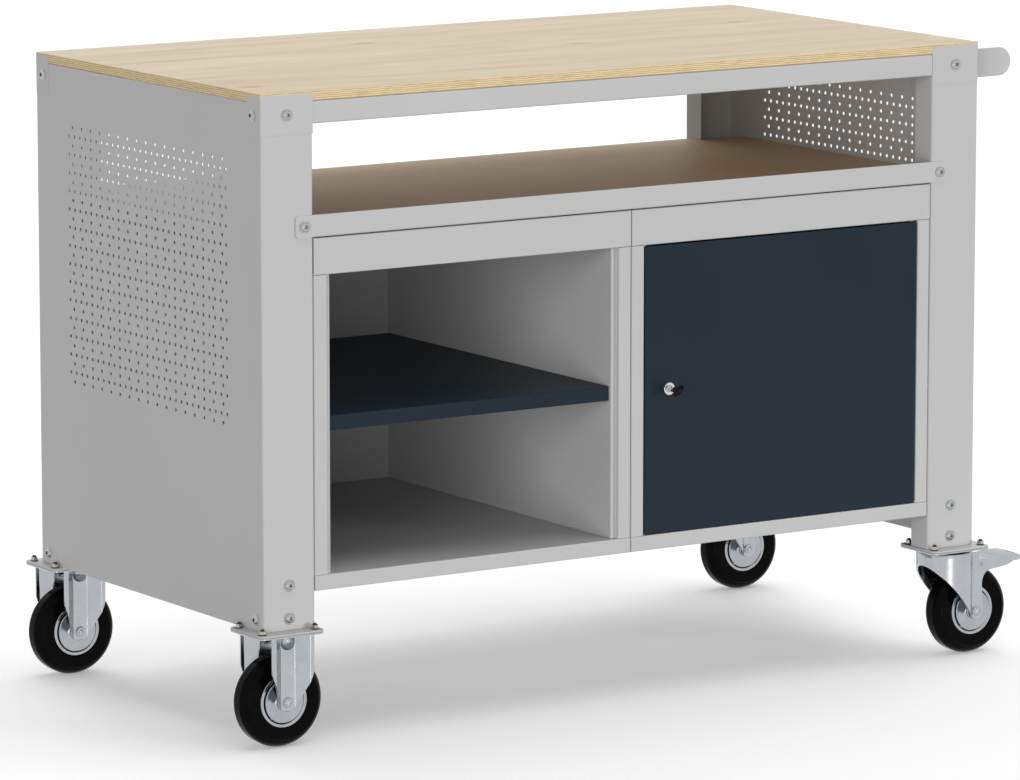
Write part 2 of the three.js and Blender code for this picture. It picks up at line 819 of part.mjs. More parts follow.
// The front leg of a fixed fork: a trough whose wings flare out to rims at the plate's edge and taper below
function fixedLeg() {
  const top = plateBottom + plateThickness / 2;
  const wingEdge = plateWidth / 2 - wingSetback;
  const wingFold = wingHalf - wingRim;
  const trough = foldedSheet([
    [-wingHalf, -wingEdge],
    [-wingFold, -wingEdge],
    [-troughHalf, -legOuter],
    [troughHalf, -legOuter],
    [wingFold, -wingEdge],
    [wingHalf, -wingEdge],
  ], forkSheet);
  const side = polygon([
    [-wingHalf, top],
    [-wingHalf, wingTaperTop],
    [-troughHalf, troughTip],
    [troughHalf, troughTip],
    [wingHalf, wingTaperTop],
    [wingHalf, top],
  ]);
  const bar = solid(extrudeUp(trough, troughTip, top));
  return geometryOf(bar.intersect(solid(extrudeBack(side, -wingEdge, 0))));
}

function fixedFork() {
  const leg = fixedLeg();
  const bore = barAlongY(axleHole, ...across).translate(0, 0, wheelRadius);
  return cut(join(castorPlate(plateBottom, castorHeight - seam), leg, mirrored(leg, 'y')), bore);
}

function swivelPlate() {
  const crownBottom = plateBottom - swivelGap - crownThickness;
  const flangeTop = crownBottom - swivelGap;
  return join(
    castorPlate(plateBottom, castorHeight - seam),
    barAlongZ(kingpinDiameter, flangeTop - kingpinFlangeHeight, plateBottom + plateThickness / 2),
    barAlongZ(kingpinFlange, flangeTop - kingpinFlangeHeight, flangeTop),
  );
}

// The plan of a swivel fork: round about the kingpin, with a straight leg on each side behind it
function forkPlan(radius, half, end) {
  const meet = Math.sqrt(radius ** 2 - half ** 2);
  const turn = Math.atan2(half, meet);
  const plan = new THREE.Shape();
  plan.moveTo(end, -half);
  plan.lineTo(end, half);
  plan.lineTo(meet, half);
  plan.absarc(0, 0, radius, turn, 2 * Math.PI - turn);
  return plan;
}

// Its side view: a slanting front edge down to the eye, a waist above the eye, and an ear for the pedal
function forkSide(crownTop) {
  const side = new THREE.Shape();
  side.moveTo(-headRadius, crownTop);
  side.lineTo(-headRadius, crownTop - headSkirt);
  side.lineTo(swivelTrail - forkEyeRadius, wheelRadius);
  side.absarc(swivelTrail, wheelRadius, forkEyeRadius, Math.PI, 2 * Math.PI);
  side.lineTo(swivelTrail + legWaist, legWaistHeight);
  side.quadraticCurveTo(swivelTrail + legWaist, earBottom, earEnd, earBottom);
  side.lineTo(earEnd, earTop);
  side.lineTo(headRadius, earTop);
  side.lineTo(headRadius, crownTop);
  return side;
}

function swivelFork() {
  const crownTop = plateBottom - swivelGap;
  const crownBottom = crownTop - crownThickness;
  const low = wheelRadius - forkEyeRadius;
  const outside = extrudeUp(forkPlan(headRadius, legOuter, earEnd), low, crownTop, 14);
  const insidePlan = forkPlan(headRadius - forkSheet, legInner, earEnd + forkSheet);
  const shell = cut(outside, extrudeUp(insidePlan, low - forkSheet, crownBottom, 14));
  const sideways = extrudeBack(forkSide(crownTop), -headRadius, headRadius, 8);
  const fork = geometryOf(solid(shell).intersect(solid(sideways)));
  const kingpinHole = kingpinDiameter + 2 * swivelGap;
  const kingpinBore = barAlongZ(kingpinHole, crownBottom - swivelGap, crownTop + swivelGap);
  const axleBore = barAlongY(axleHole, ...across).translate(swivelTrail, 0, wheelRadius);
  const pedalBore = barAlongY(pedalPinDiameter + 2 * axleClearance, ...across);
  return cut(fork, kingpinBore, axleBore, pedalBore.translate(pedalPivotX, 0, pedalPivotHeight));
}

// Brake pedal: a channel on a cross pin between the fork's ears, ending in a rounded drooping tread
function brakePedal() {
  const half = legInner - pedalClearance;
  const top = foldedSheet([
    [pedalStart, pedalTop],
    [pedalBend, pedalTop],
    [pedalReach, pedalTop - pedalTipDrop],
  ], pedalSheet);
  const tongue = new THREE.Shape();
  tongue.moveTo(pedalStart, -half);
  tongue.absarc(pedalReach - half, 0, half, -Math.PI / 2, Math.PI / 2);
  tongue.lineTo(pedalStart, half);
  const column = extrudeUp(tongue, earBottom, pedalTop + pedalSheet, 8);
  const lever = geometryOf(solid(extrudeBack(top, -half, half)).intersect(solid(column)));
  const cheekSide = polygon([
    [pedalStart, pedalTop + pedalSheet / 2],
    [pedalStart, earBottom],
    [earEnd, earBottom],
    [cheekEnd, earBottom + cheekRise],
    [cheekEnd, pedalTop],
    [pedalBend, pedalTop + pedalSheet / 2],
  ]);
  const cheeks = [[-half, pedalSheet - half], [half - pedalSheet, half]];
  const pin = barAlongY(pedalPinDiameter, -legOuter - seam, legOuter + seam, 12);
  return join(
    lever,
    ...cheeks.map(([y0, y1]) => extrudeBack(cheekSide, y0, y1)),
    pin.translate(pedalPivotX, 0, pedalPivotHeight),
  );
}

for (const corner of corners) {
  const castor = new THREE.Group();
  castor.position.x = corner.left ? -castorX : castorX;
  castor.position.y = corner.rear ? -castorY : castorY;
  bench.add(castor);
  if (corner.left) {
    add(`${corner.name}_fork`, fixedFork(), zinc, castor);
  } else {
    add(`${corner.name}_swivel_plate`, swivelPlate(), zinc, castor);
    add(`${corner.name}_fork`, swivelFork(), zinc, castor);
    add(`${corner.name}_brake_pedal`, brakePedal(), zinc, castor);
  }
  const wheel = new THREE.Group();
  wheel.position.set(corner.left ? 0 : swivelTrail, 0, wheelRadius);
  castor.add(wheel);
  add(`${corner.name}_rim`, rim(), zinc, wheel);
  add(`${corner.name}_tyre`, tyre(), rubber, wheel);
  add(`${corner.name}_axle`, axle(), zinc, wheel);
}

// The origin: on the floor, at the middle of the whole object's box

bench.updateMatrixWorld(true);
const box = new THREE.Box3().setFromObject(bench, true);
bench.position.set(-(box.min.x + box.max.x) / 2, -(box.min.y + box.max.y) / 2, -box.min.z);

export default bench;
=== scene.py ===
# %% [markdown]
# # A mobile workbench with two cabinet modules
# The bench is folded sheet steel under a plywood board: two perforated end walls, a tray, an open
# cabinet, a cabinet with a locked door, and four castors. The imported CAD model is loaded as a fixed
# frame. Every piece below is modelled around it, in metres and in its place, and then moves with the
# body that carries it.

# %% Load the frame
import math

import bmesh
import bpy
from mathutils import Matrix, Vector


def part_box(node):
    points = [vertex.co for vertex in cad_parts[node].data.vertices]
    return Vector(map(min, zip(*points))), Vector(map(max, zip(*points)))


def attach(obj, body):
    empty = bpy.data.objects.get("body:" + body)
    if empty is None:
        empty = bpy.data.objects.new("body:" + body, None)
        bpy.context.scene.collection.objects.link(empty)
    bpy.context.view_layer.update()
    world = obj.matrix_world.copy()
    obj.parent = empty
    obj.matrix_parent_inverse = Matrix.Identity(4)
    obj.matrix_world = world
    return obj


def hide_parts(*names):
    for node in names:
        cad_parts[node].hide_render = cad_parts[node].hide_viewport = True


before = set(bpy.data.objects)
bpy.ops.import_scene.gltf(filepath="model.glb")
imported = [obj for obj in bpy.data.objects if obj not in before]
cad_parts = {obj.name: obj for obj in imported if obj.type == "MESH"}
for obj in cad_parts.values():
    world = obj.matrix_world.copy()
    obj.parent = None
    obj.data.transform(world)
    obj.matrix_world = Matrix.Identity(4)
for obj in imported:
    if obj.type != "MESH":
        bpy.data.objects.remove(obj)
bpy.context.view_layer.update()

MM = 0.001

# %% [markdown]
# ## Camera
# The bench was photographed from its front left corner through a long lens, so its edges hardly
# converge. A camera could be aimed by eye, or solved from known corners. It was solved from the
# corners of the board, the posts and the wheels, with no lens shift, so that other views stay centred,
# and the solved numbers are set below.

# %% Camera
camera_data = bpy.data.cameras.new("photo_camera")
camera = bpy.data.objects.new("photo_camera", camera_data)
bpy.context.scene.collection.objects.link(camera)
camera.location = (-4.80780, -7.35061, 1.82817)
camera.rotation_euler = (math.pi / 2 - 0.1628, 0, -0.5756)
camera_data.sensor_fit = "HORIZONTAL"
camera_data.sensor_width = 36
camera_data.lens = 225.48
camera_data.clip_end = 100
bpy.context.scene.camera = camera
bpy.context.scene.view_settings.view_transform = "Standard"
print("camera at", tuple(round(value, 3) for value in camera.location))

# %% [markdown]
# ## Floor and light
# The bench stands on a white studio floor that runs on into a white background and keeps a soft
# shadow. The floor could be lit until it is white, but that would bleach the paint as well. So the
# camera sees part of the floor's white as its own light, and mirror-like surfaces see the white sky,
# while the bench is lit by a plain white sky and soft suns, which light the floor evenly out to the
# background: two low ones from the front left and the front right, which reach into the cabinets, one
# from behind and one high on the right. A lamp that bright would burn out on bare metal, so mirrors see
# only a weak fifth one, just below the horizon, which leaves a streak on each bend. The floor casts no
# shadow and isn't mirrored, so that light from below the horizon reaches the bench through it.


# %% Node helpers
def add_node(tree, kind, **values):
    """Adds a node, and sets each named input of it that is given a value."""
    new = tree.nodes.new("ShaderNode" + kind)
    for name, value in values.items():
        new.inputs[name.replace("_", " ")].default_value = value
    return new


def seen_directly(tree):
    """1 for camera, mirror and glass rays, 0 for the light that falls on other surfaces."""
    path = add_node(tree, "LightPath")
    either = add_node(tree, "Math")
    either.operation = "MAXIMUM"
    tree.links.new(path.outputs["Is Camera Ray"], either.inputs[0])
    tree.links.new(path.outputs["Is Glossy Ray"], either.inputs[1])
    result = add_node(tree, "Math")
    result.operation = "MAXIMUM"
    tree.links.new(either.outputs[0], result.inputs[0])
    tree.links.new(path.outputs["Is Transmission Ray"], result.inputs[1])
    return result.outputs[0]


# %% Floor
FLOOR_SIZE = 60
bpy.ops.object.select_all(action="DESELECT")
bpy.ops.mesh.primitive_plane_add(size=FLOOR_SIZE)
floor = bpy.context.object
floor.name = "studio_floor"
floor_finish = bpy.data.materials.new("studio_white")
floor_finish.use_nodes = True
tree = floor_finish.node_tree
tree.nodes.clear()
bounce = add_node(tree, "BsdfDiffuse", Color=(0.22, 0.22, 0.22, 1))
shown = add_node(tree, "BsdfDiffuse", Color=(0.82, 0.82, 0.82, 1))
glow = add_node(tree, "Emission", Color=(1, 1, 1, 1), Strength=0.29)
shown_white = add_node(tree, "AddShader")
choice = add_node(tree, "MixShader")
tree.links.new(shown.outputs[0], shown_white.inputs[0])
tree.links.new(glow.outputs[0], shown_white.inputs[1])
tree.links.new(seen_directly(tree), choice.inputs[0])
tree.links.new(bounce.outputs[0], choice.inputs[1])
tree.links.new(shown_white.outputs[0], choice.inputs[2])
tree.links.new(choice.outputs[0], add_node(tree, "OutputMaterial").inputs["Surface"])
floor.data.materials.append(floor_finish)
floor.visible_shadow = False
floor.visible_glossy = False
print("floor", FLOOR_SIZE, "m square")

# %% White sky
world = bpy.data.worlds.new("studio_sky")
bpy.context.scene.world = world
world.use_nodes = True
tree = world.node_tree
tree.nodes.clear()
sky_light = add_node(tree, "Background", Color=(1, 1, 1, 1), Strength=0.24)
sky_shown = add_node(tree, "Background", Color=(1, 1, 1, 1), Strength=1)
sky = add_node(tree, "MixShader")
tree.links.new(seen_directly(tree), sky.inputs[0])
tree.links.new(sky_light.outputs[0], sky.inputs[1])
tree.links.new(sky_shown.outputs[0], sky.inputs[2])
tree.links.new(sky.outputs[0], add_node(tree, "OutputWorld").inputs["Surface"])
print("sky strength", sky_light.inputs["Strength"].default_value)


# %% Soft suns
def soft_sun(name, azimuth, height, spread_angle, share, mirrored=True):
    """A broad sun; share is the part of a white surface's brightness that it gives at right angles."""
    lamp = bpy.data.lights.new(name, "SUN")
    lamp.energy = share * math.pi
    lamp.angle = math.radians(spread_angle)
    holder = bpy.data.objects.new(name, lamp)
    bpy.context.scene.collection.objects.link(holder)
    holder.rotation_euler = (math.radians(90 - height), 0, math.radians(azimuth))
    holder.visible_glossy = mirrored
    print(name, "gives", share, "from azimuth", azimuth, "height", height)


soft_sun("left_sun", -50, 4, 44, 0.56, mirrored=False)
soft_sun("right_sun", 36, 3, 16, 0.48, mirrored=False)
soft_sun("back_sun", 172, 20, 40, 0.31, mirrored=False)
soft_sun("top_sun", 105, 70, 72, 0.56, mirrored=False)
soft_sun("glint_sun", -12, -8, 16, 0.05)

# %% [markdown]
# ## Powder coat
# All the sheet steel is powder coated, light grey on the frame and the cabinets, anthracite on the
# door and the shelves. Such a coat is an even colour with a fine orange-peel surface. A flat colour
# would look like plastic, so a fine noise makes the peel as bump and varies the gloss, and a broad
# faint noise lets the shade drift over a metre. The floor of the tray gets a browner coat, which is
# painted light: the warm glow that the plywood's underside bounces onto its grey steel.


# %% Powder coat
def new_finish(name, roughness, metallic=0.0, specular=0.5):
    material = bpy.data.materials.new(name)
    material.use_nodes = True
    shader = material.node_tree.nodes["Principled BSDF"]
    shader.inputs["Roughness"].default_value = roughness
    shader.inputs["Metallic"].default_value = metallic
    shader.inputs["Specular IOR Level"].default_value = specular
    return material, material.node_tree, shader


def object_place(tree, stretch=(1, 1, 1), shift=(0, 0, 0)):
    """Object coordinates, stretched and shifted by a Mapping node."""
    where = add_node(tree, "TexCoord")
    mapping = add_node(tree, "Mapping", Scale=stretch, Location=shift)
    tree.links.new(where.outputs["Object"], mapping.inputs["Vector"])
    return mapping.outputs["Vector"]


def noise(tree, place, scale, detail=2.0, roughness=0.5, distortion=0.0):
    texture = add_node(tree, "TexNoise", Scale=scale, Detail=detail, Roughness=roughness, Distortion=distortion)
    tree.links.new(place, texture.inputs["Vector"])
    return texture.outputs["Fac"]


def ramp(tree, factor, *stops):
    """A colour ramp through (position, colour) stops."""
    new = add_node(tree, "ValToRGB")
    elements = new.color_ramp.elements
    while len(elements) < len(stops):
        elements.new(0.5)
    for element, (position, color) in zip(elements, stops):
        element.position = position
        element.color = (*color, 1)
    tree.links.new(factor, new.inputs["Fac"])
    return new.outputs["Color"]


def spread(tree, factor, low, high):
    """A 0 to 1 pattern spread over the range low to high."""
    new = add_node(tree, "MapRange", From_Min=0.3, From_Max=0.7, To_Min=low, To_Max=high)
    tree.links.new(factor, new.inputs["Value"])
    return new.outputs["Result"]


def raised(tree, shader, height, strength, depth):
    bump = add_node(tree, "Bump", Strength=strength, Distance=depth)
    tree.links.new(height, bump.inputs["Height"])
    tree.links.new(bump.outputs["Normal"], shader.inputs["Normal"])


def powder_coat(name, dark, light, gloss_low, gloss_high, specular):
    material, tree, shader = new_finish(name, gloss_high, specular=specular)
    place = object_place(tree)
    drift = ramp(tree, noise(tree, place, 2.3, 3), (0.35, dark), (0.65, light))
    tree.links.new(drift, shader.inputs["Base Color"])
    gloss = spread(tree, noise(tree, place, 420), gloss_low, gloss_high)
    tree.links.new(gloss, shader.inputs["Roughness"])
    raised(tree, shader, noise(tree, place, 760, 2), 0.10, 0.0002)
    print("powder coat", name)
    return material


grey_coat = powder_coat("grey_coat", (0.478, 0.478, 0.476), (0.502, 0.502, 0.500), 0.40, 0.52, 0.4)
dark_coat = powder_coat("anthracite_coat", (0.007, 0.014, 0.021), (0.010, 0.018, 0.027), 0.40, 0.52, 0.2)

# %% Tray coat, browned with painted bounce light
# Painted bounce light: a browner, brighter grey coat that stands for the warm light thrown down from the plywood above.
tray_coat = powder_coat("tray_coat", (0.60, 0.484, 0.318), (0.63, 0.514, 0.343), 0.46, 0.58, 0.12)

# %% [markdown]
# ## Birch plywood
# The board is birch plywood. Its face is pale veneer laid in broad strips, with long faint streaks
# along the board and a few small knots; its underside is a browner veneer, and its edge shows the glued
# layers. A picture could be used, but noise stretched along the board gives grain at any distance. Face,
# underside and edge are materials of their own, given to faces by direction, as on the real board.


# %% Birch face
GRAIN = (1.3, 15, 15)
FINE_GRAIN = (7, 420, 420)
birch_face, tree, shader = new_finish("birch_face", 0.5, specular=0.35)
grain = noise(tree, object_place(tree, GRAIN), 1.0, 5, 0.6, 0.7)
streaks = ramp(tree, grain, (0.30, (0.545, 0.442, 0.302)), (0.46, (0.63, 0.54, 0.398)),
               (0.70, (0.69, 0.608, 0.472)))
pores = ramp(tree, noise(tree, object_place(tree, FINE_GRAIN), 1.0, 3, 0.6),
             (0.25, (0.90, 0.88, 0.85)), (0.48, (1, 1, 1)))
flames = ramp(tree, noise(tree, object_place(tree, (5, 24, 1), (1.7, 0.6, 0)), 1.0, 3, 0.6, 0.8),
              (0.34, (0.925, 0.89, 0.83)), (0.50, (0.99, 0.98, 0.955)), (0.64, (1.015, 1.015, 1.01)))
strip_place = add_node(tree, "SeparateXYZ")
tree.links.new(object_place(tree, (1, 7.4, 1), (0, 0.31, 0)), strip_place.inputs[0])
strip_number = add_node(tree, "Math")
strip_number.operation = "FLOOR"
tree.links.new(strip_place.outputs["Y"], strip_number.inputs[0])
strip_shade = add_node(tree, "TexWhiteNoise")
strip_shade.noise_dimensions = "1D"
tree.links.new(strip_number.outputs[0], strip_shade.inputs["W"])
strips = ramp(tree, strip_shade.outputs["Value"], (0.0, (0.94, 0.925, 0.89)), (1.0, (1.0, 1.0, 1.0)))
knot_spots = add_node(tree, "TexVoronoi", Scale=1.0, Randomness=1.0)
tree.links.new(object_place(tree, (3.1, 8.5, 1), (0.4, 0.2, 0)), knot_spots.inputs["Vector"])
knots = ramp(tree, knot_spots.outputs["Distance"], (0.0, (0.50, 0.38, 0.26)), (0.04, (0.84, 0.77, 0.68)), (0.10, (1, 1, 1)))


def multiply(tree, first, second):
    blend = add_node(tree, "Mix")
    blend.data_type = "RGBA"
    blend.blend_type = "MULTIPLY"
    blend.inputs["Factor"].default_value = 1
    tree.links.new(first, blend.inputs[6])
    tree.links.new(second, blend.inputs[7])
    return blend.outputs[2]


wood = multiply(tree, multiply(tree, streaks, flames), multiply(tree, multiply(tree, strips, pores), knots))
tree.links.new(wood, shader.inputs["Base Color"])
tree.links.new(spread(tree, grain, 0.44, 0.58), shader.inputs["Roughness"])
raised(tree, shader, grain, 0.10, 0.0003)
print("birch face")

# %% Underside veneer
back_veneer, tree, shader = new_finish("back_veneer", 0.6, specular=0.3)
back_grain = noise(tree, object_place(tree, GRAIN, (3, 1, 0)), 1.0, 6, 0.62)
tree.links.new(ramp(tree, back_grain, (0.3, (0.50, 0.31, 0.115)), (0.7, (0.66, 0.44, 0.19))), shader.inputs["Base Color"])
raised(tree, shader, back_grain, 0.15, 0.0003)
print("underside veneer")

# %% Plywood edge
PLY_WAVE = 2 * math.pi / (20 * 2.6 * MM)
ply_edge, tree, shader = new_finish("ply_edge", 0.6, specular=0.3)
layers = add_node(tree, "TexWave", Scale=PLY_WAVE, Distortion=0.25, Detail=2, Detail_Scale=0.4)
layers.wave_type = "BANDS"
layers.bands_direction = "Z"
tree.links.new(object_place(tree), layers.inputs["Vector"])
bands = ramp(tree, layers.outputs["Fac"], (0.0, (0.48, 0.33, 0.155)), (0.28, (0.64, 0.49, 0.27)), (0.75, (0.76, 0.63, 0.41)))
fibres = ramp(tree, noise(tree, object_place(tree, (60, 60, 420)), 1.0, 4, 0.6),
              (0.3, (0.82, 0.78, 0.70)), (0.55, (1, 1, 1)))
tree.links.new(multiply(tree, bands, fibres), shader.inputs["Base Color"])
raised(tree, shader, layers.outputs["Fac"], 0.2, 0.0003)
print("plywood edge, layers of", 2.6 / 2, "mm")

# %% [markdown]
# ## Zinc, chrome, rubber and key plastic
# The castors and screws are bright zinc plate: a metal whose crystals and rolled sheet make it
# faintly mottled. The lock is polished, the tyres are black rubber with a satin skin, and the key's
# grip is black plastic. Each gets its gloss from a noise of its own scale, so that no highlight is
# perfectly even.


# %% Metals
def plated(name, dark, light, gloss_low, gloss_high, mottle):
    material, tree, shader = new_finish(name, gloss_high, metallic=1.0)
    place = object_place(tree)
    cloud = noise(tree, place, mottle, 4, 0.6)
    tree.links.new(ramp(tree, cloud, (0.32, dark), (0.68, light)), shader.inputs["Base Color"])
    gloss = spread(tree, noise(tree, place, 3.1 * mottle, 3), gloss_low, gloss_high)
    tree.links.new(gloss, shader.inputs["Roughness"])
    raised(tree, shader, noise(tree, place, 5 * mottle, 2), 0.02, 0.0002)
    print("plated", name)
    return material


zinc = plated("bright_zinc", (0.375, 0.395, 0.42), (0.43, 0.45, 0.47), 0.14, 0.20, 45)
fork_zinc = plated("fork_zinc", (0.43, 0.45, 0.475), (0.47, 0.49, 0.51), 0.22, 0.28, 45)
nut_zinc = plated("nut_zinc", (0.40, 0.38, 0.32), (0.50, 0.48, 0.41), 0.10, 0.18, 260)
screw_zinc = plated("screw_zinc", (0.38, 0.40, 0.415), (0.46, 0.48, 0.495), 0.06, 0.12, 300)
dark_steel = plated("dark_steel", (0.035, 0.034, 0.032), (0.07, 0.068, 0.064), 0.22, 0.32, 260)
polished = plated("lock_chrome", (0.58, 0.59, 0.60), (0.68, 0.69, 0.70), 0.08, 0.15, 500)


# %% Rubber and plastic
def moulded(name, color_low, color_high, gloss_low, gloss_high, grain_scale, grain_depth, specular):
    material, tree, shader = new_finish(name, gloss_high, specular=specular)
    place = object_place(tree)
    tree.links.new(ramp(tree, noise(tree, place, 40, 3), (0.3, color_low), (0.7, color_high)),
                   shader.inputs["Base Color"])
    tree.links.new(spread(tree, noise(tree, place, 130), gloss_low, gloss_high), shader.inputs["Roughness"])
    raised(tree, shader, noise(tree, place, grain_scale, 2), 0.12, grain_depth)
    print("moulded", name)
    return material


rubber = moulded("tyre_rubber", (0.0012, 0.0012, 0.0013), (0.0022, 0.0022, 0.0022), 0.12, 0.20, 900, 0.0001, 0.04)
key_plastic = moulded("key_plastic", (0.008, 0.008, 0.009), (0.013, 0.013, 0.014), 0.28, 0.4, 1500, 0.0001, 0.2)

# %% [markdown]
# ## How the pieces are modelled
# Nearly every part of the bench is sheet metal, so one way of working serves most of it: draw the
# section as a line by extruding a vertex from point to point, extrude the line along the sheet, bevel
# the fold lines into bends, and give the sheet its thickness with Solidify. Outlines that are cut
# rather than folded are drawn and filled the same way and used as Boolean tools.


# %% Selecting
def object_mode():
    if bpy.context.mode != "OBJECT":
        bpy.ops.object.mode_set(mode="OBJECT")


def only(piece, mode="OBJECT"):
    """Leaves just this piece selected and active, in the given mode."""
    object_mode()
    bpy.ops.object.select_all(action="DESELECT")
    piece.select_set(True)
    bpy.context.view_layer.objects.active = piece
    if mode == "EDIT":
        bpy.ops.object.mode_set(mode="EDIT")
        bpy.ops.mesh.select_mode(type="VERT")


def pick(piece, kind, test):
    """Selects, in edit mode, just the vertices, edges or faces that pass a test, and counts them."""
    if bpy.context.mode != "EDIT_MESH":
        only(piece, "EDIT")
    bpy.ops.mesh.select_mode(type=kind)
    bpy.ops.mesh.select_all(action="DESELECT")
    mesh = bmesh.from_edit_mesh(piece.data)
    parts = {"VERT": mesh.verts, "EDGE": mesh.edges, "FACE": mesh.faces}[kind]
    chosen = [part for part in parts if test(part)]
    for part in chosen:
        part.select_set(True)
    mesh.select_flush_mode()
    bmesh.update_edit_mesh(piece.data)
    return len(chosen)


def along(edge, axis):
    """Whether an edge runs along the X, Y or Z axis (0, 1 or 2)."""
    run = edge.verts[1].co - edge.verts[0].co
    return abs(run[axis]) > 0.999 * run.length


def at_place(part, axis, value):
    """Whether every vertex of an edge or face has this coordinate."""
    return all(abs(vertex.co[axis] - value) < 0.01 * MM for vertex in part.verts)


# %% Starting pieces
def start(name):
    """Takes the new primitive as a piece, with its place in its mesh."""
    piece = bpy.context.object
    piece.name = name
    piece.data.name = name
    bpy.ops.object.transform_apply(location=True, rotation=True, scale=True)
    return piece


def block(name, low, high):
    object_mode()
    bpy.ops.object.select_all(action="DESELECT")
    low, high = Vector(low), Vector(high)
    bpy.ops.mesh.primitive_cube_add(size=1, location=(low + high) / 2, scale=high - low)
    return start(name)


TURNS = {0: (0, math.pi / 2, 0), 1: (math.pi / 2, 0, 0), 2: (0, 0, 0)}


def rod(name, middle, axis, radius, length, sides=32):
    object_mode()
    bpy.ops.object.select_all(action="DESELECT")
    bpy.ops.mesh.primitive_cylinder_add(vertices=sides, radius=radius, depth=length,
                                        location=middle, rotation=TURNS[axis])
    return start(name)


def draw_line(name, points):
    """Draws a line through points: a plane merged to one vertex, then extruded from place to place."""
    object_mode()
    bpy.ops.object.select_all(action="DESELECT")
    bpy.ops.mesh.primitive_plane_add(size=MM)
    piece = start(name)
    points = [Vector(point) for point in points]
    bpy.ops.object.mode_set(mode="EDIT")
    bpy.ops.mesh.select_mode(type="VERT")
    bpy.ops.mesh.select_all(action="SELECT")
    bpy.ops.mesh.merge(type="CENTER")
    bpy.ops.transform.translate(value=points[0])
    for before, after in zip(points, points[1:]):
        bpy.ops.mesh.extrude_region_move(TRANSFORM_OT_translate={"value": after - before})
    return piece


# %% Finishing pieces
def face_outwards(piece):
    """Turns a closed piece's faces to the outside."""
    only(piece, "EDIT")
    bpy.ops.mesh.select_all(action="SELECT")
    bpy.ops.mesh.remove_doubles(threshold=0.001 * MM)
    bpy.ops.mesh.normals_make_consistent(inside=False)
    if bmesh.from_edit_mesh(piece.data).calc_volume(signed=True) < 0:
        bpy.ops.mesh.flip_normals()
    object_mode()


def apply(piece, kind, **values):
    """Adds a modifier, sets it and applies it."""
    only(piece)
    modifier = piece.modifiers.new(kind.lower(), kind)
    for name, value in values.items():
        setattr(modifier, name, value)
    bpy.ops.object.modifier_apply(modifier=modifier.name)


def soften(piece, width=0.3 * MM, segments=2, angle=40):
    """Rounds every edge that is sharper than the angle."""
    apply(piece, "BEVEL", width=width, segments=segments, limit_method="ANGLE",
          angle_limit=math.radians(angle), use_clamp_overlap=True, harden_normals=False)


def combine(piece, tool, operation="DIFFERENCE", solver="EXACT"):
    """Cuts a piece with a tool, joins the two or keeps what they share, and removes the tool."""
    apply(piece, "BOOLEAN", object=tool, operation=operation, solver=solver)
    bpy.data.objects.remove(tool)


def dress(piece, body, slot, finish, *nodes):
    """Gives a piece its finish, and ties it to its body and to the CAD nodes that it stands for."""
    only(piece)
    bpy.ops.object.shade_smooth_by_angle(angle=math.radians(32))
    apply(piece, "WEIGHTED_NORMAL", keep_sharp=True)
    if not piece.data.materials:
        piece.data.materials.append(finish)
    piece.data.materials[0] = finish
    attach(piece, body)
    if nodes:
        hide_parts(*nodes)
    print(piece.name, "on", body, "faces", len(piece.data.polygons))
    return piece


# %% Sheets, prisms and turned shapes
def fold(name, section, run, thickness, inward, bend, segments=4):
    """A sheet drawn by its outer line and run along its length, with rounded folds."""
    piece = draw_line(name, section)
    bpy.ops.mesh.select_all(action="SELECT")
    bpy.ops.mesh.extrude_region_move(TRANSFORM_OT_translate={"value": run})
    middle = (Vector(section[0]) + Vector(section[1]) + Vector(run)) / 2
    mesh = bmesh.from_edit_mesh(piece.data)
    mesh.normal_update()
    first = min(mesh.faces, key=lambda face: (face.calc_center_median() - middle).length)
    if first.normal.dot(Vector(inward)) > 0:
        bpy.ops.mesh.select_all(action="SELECT")
        bpy.ops.mesh.flip_normals()
    if pick(piece, "EDGE", lambda edge: len(edge.link_faces) == 2):
        bpy.ops.mesh.bevel(offset=bend, segments=segments, affect="EDGES")
    apply(piece, "SOLIDIFY", thickness=thickness, offset=-1, use_even_offset=True)
    return piece


def prism(name, outline, run):
    """A closed outline, filled and extruded."""
    piece = draw_line(name, [*outline, outline[0]])
    bpy.ops.mesh.select_all(action="SELECT")
    bpy.ops.mesh.remove_doubles(threshold=0.001 * MM)
    bpy.ops.mesh.select_all(action="SELECT")
    bpy.ops.mesh.edge_face_add()
    bpy.ops.mesh.extrude_region_move(TRANSFORM_OT_translate={"value": run})
    face_outwards(piece)
    return piece


def turn(name, profile, centre, axis, steps=48):
    """A closed profile of (radius, place along the axis), spun about the axis through the centre."""
    aside = {0: Vector((0, 0, 1)), 1: Vector((0, 0, 1)), 2: Vector((1, 0, 0))}[axis]
    forward = Vector([1 if i == axis else 0 for i in range(3)])
    centre = Vector(centre)
    points = [centre + aside * radius * MM + forward * place * MM for radius, place in profile]
    piece = draw_line(name, [*points, points[0]])
    bpy.ops.mesh.select_all(action="SELECT")
    bpy.ops.mesh.spin(steps=steps, angle=2 * math.pi, center=centre, axis=forward)
    face_outwards(piece)
    return piece


def arc(centre, radius, begin, end, count):
    """Points (a, b) on an arc, with angles in degrees."""
    angles = [math.radians(begin + (end - begin) * i / count) for i in range(count + 1)]
    return [(centre[0] + radius * math.cos(angle), centre[1] + radius * math.sin(angle)) for angle in angles]


# %% Copies
def copy(piece, name, move=(0, 0, 0), turn_z=0.0, about=(0, 0, 0)):
    """A copy with a mesh of its own, turned about a vertical line and moved."""
    only(piece)
    bpy.ops.object.duplicate()
    new = bpy.context.object
    new.name = name
    new.data.name = name
    bpy.ops.object.mode_set(mode="EDIT")
    bpy.ops.mesh.select_all(action="SELECT")
    if turn_z:
        bpy.ops.transform.rotate(value=turn_z, orient_axis="Z", center_override=about)
    bpy.ops.transform.translate(value=move)
    object_mode()
    return new


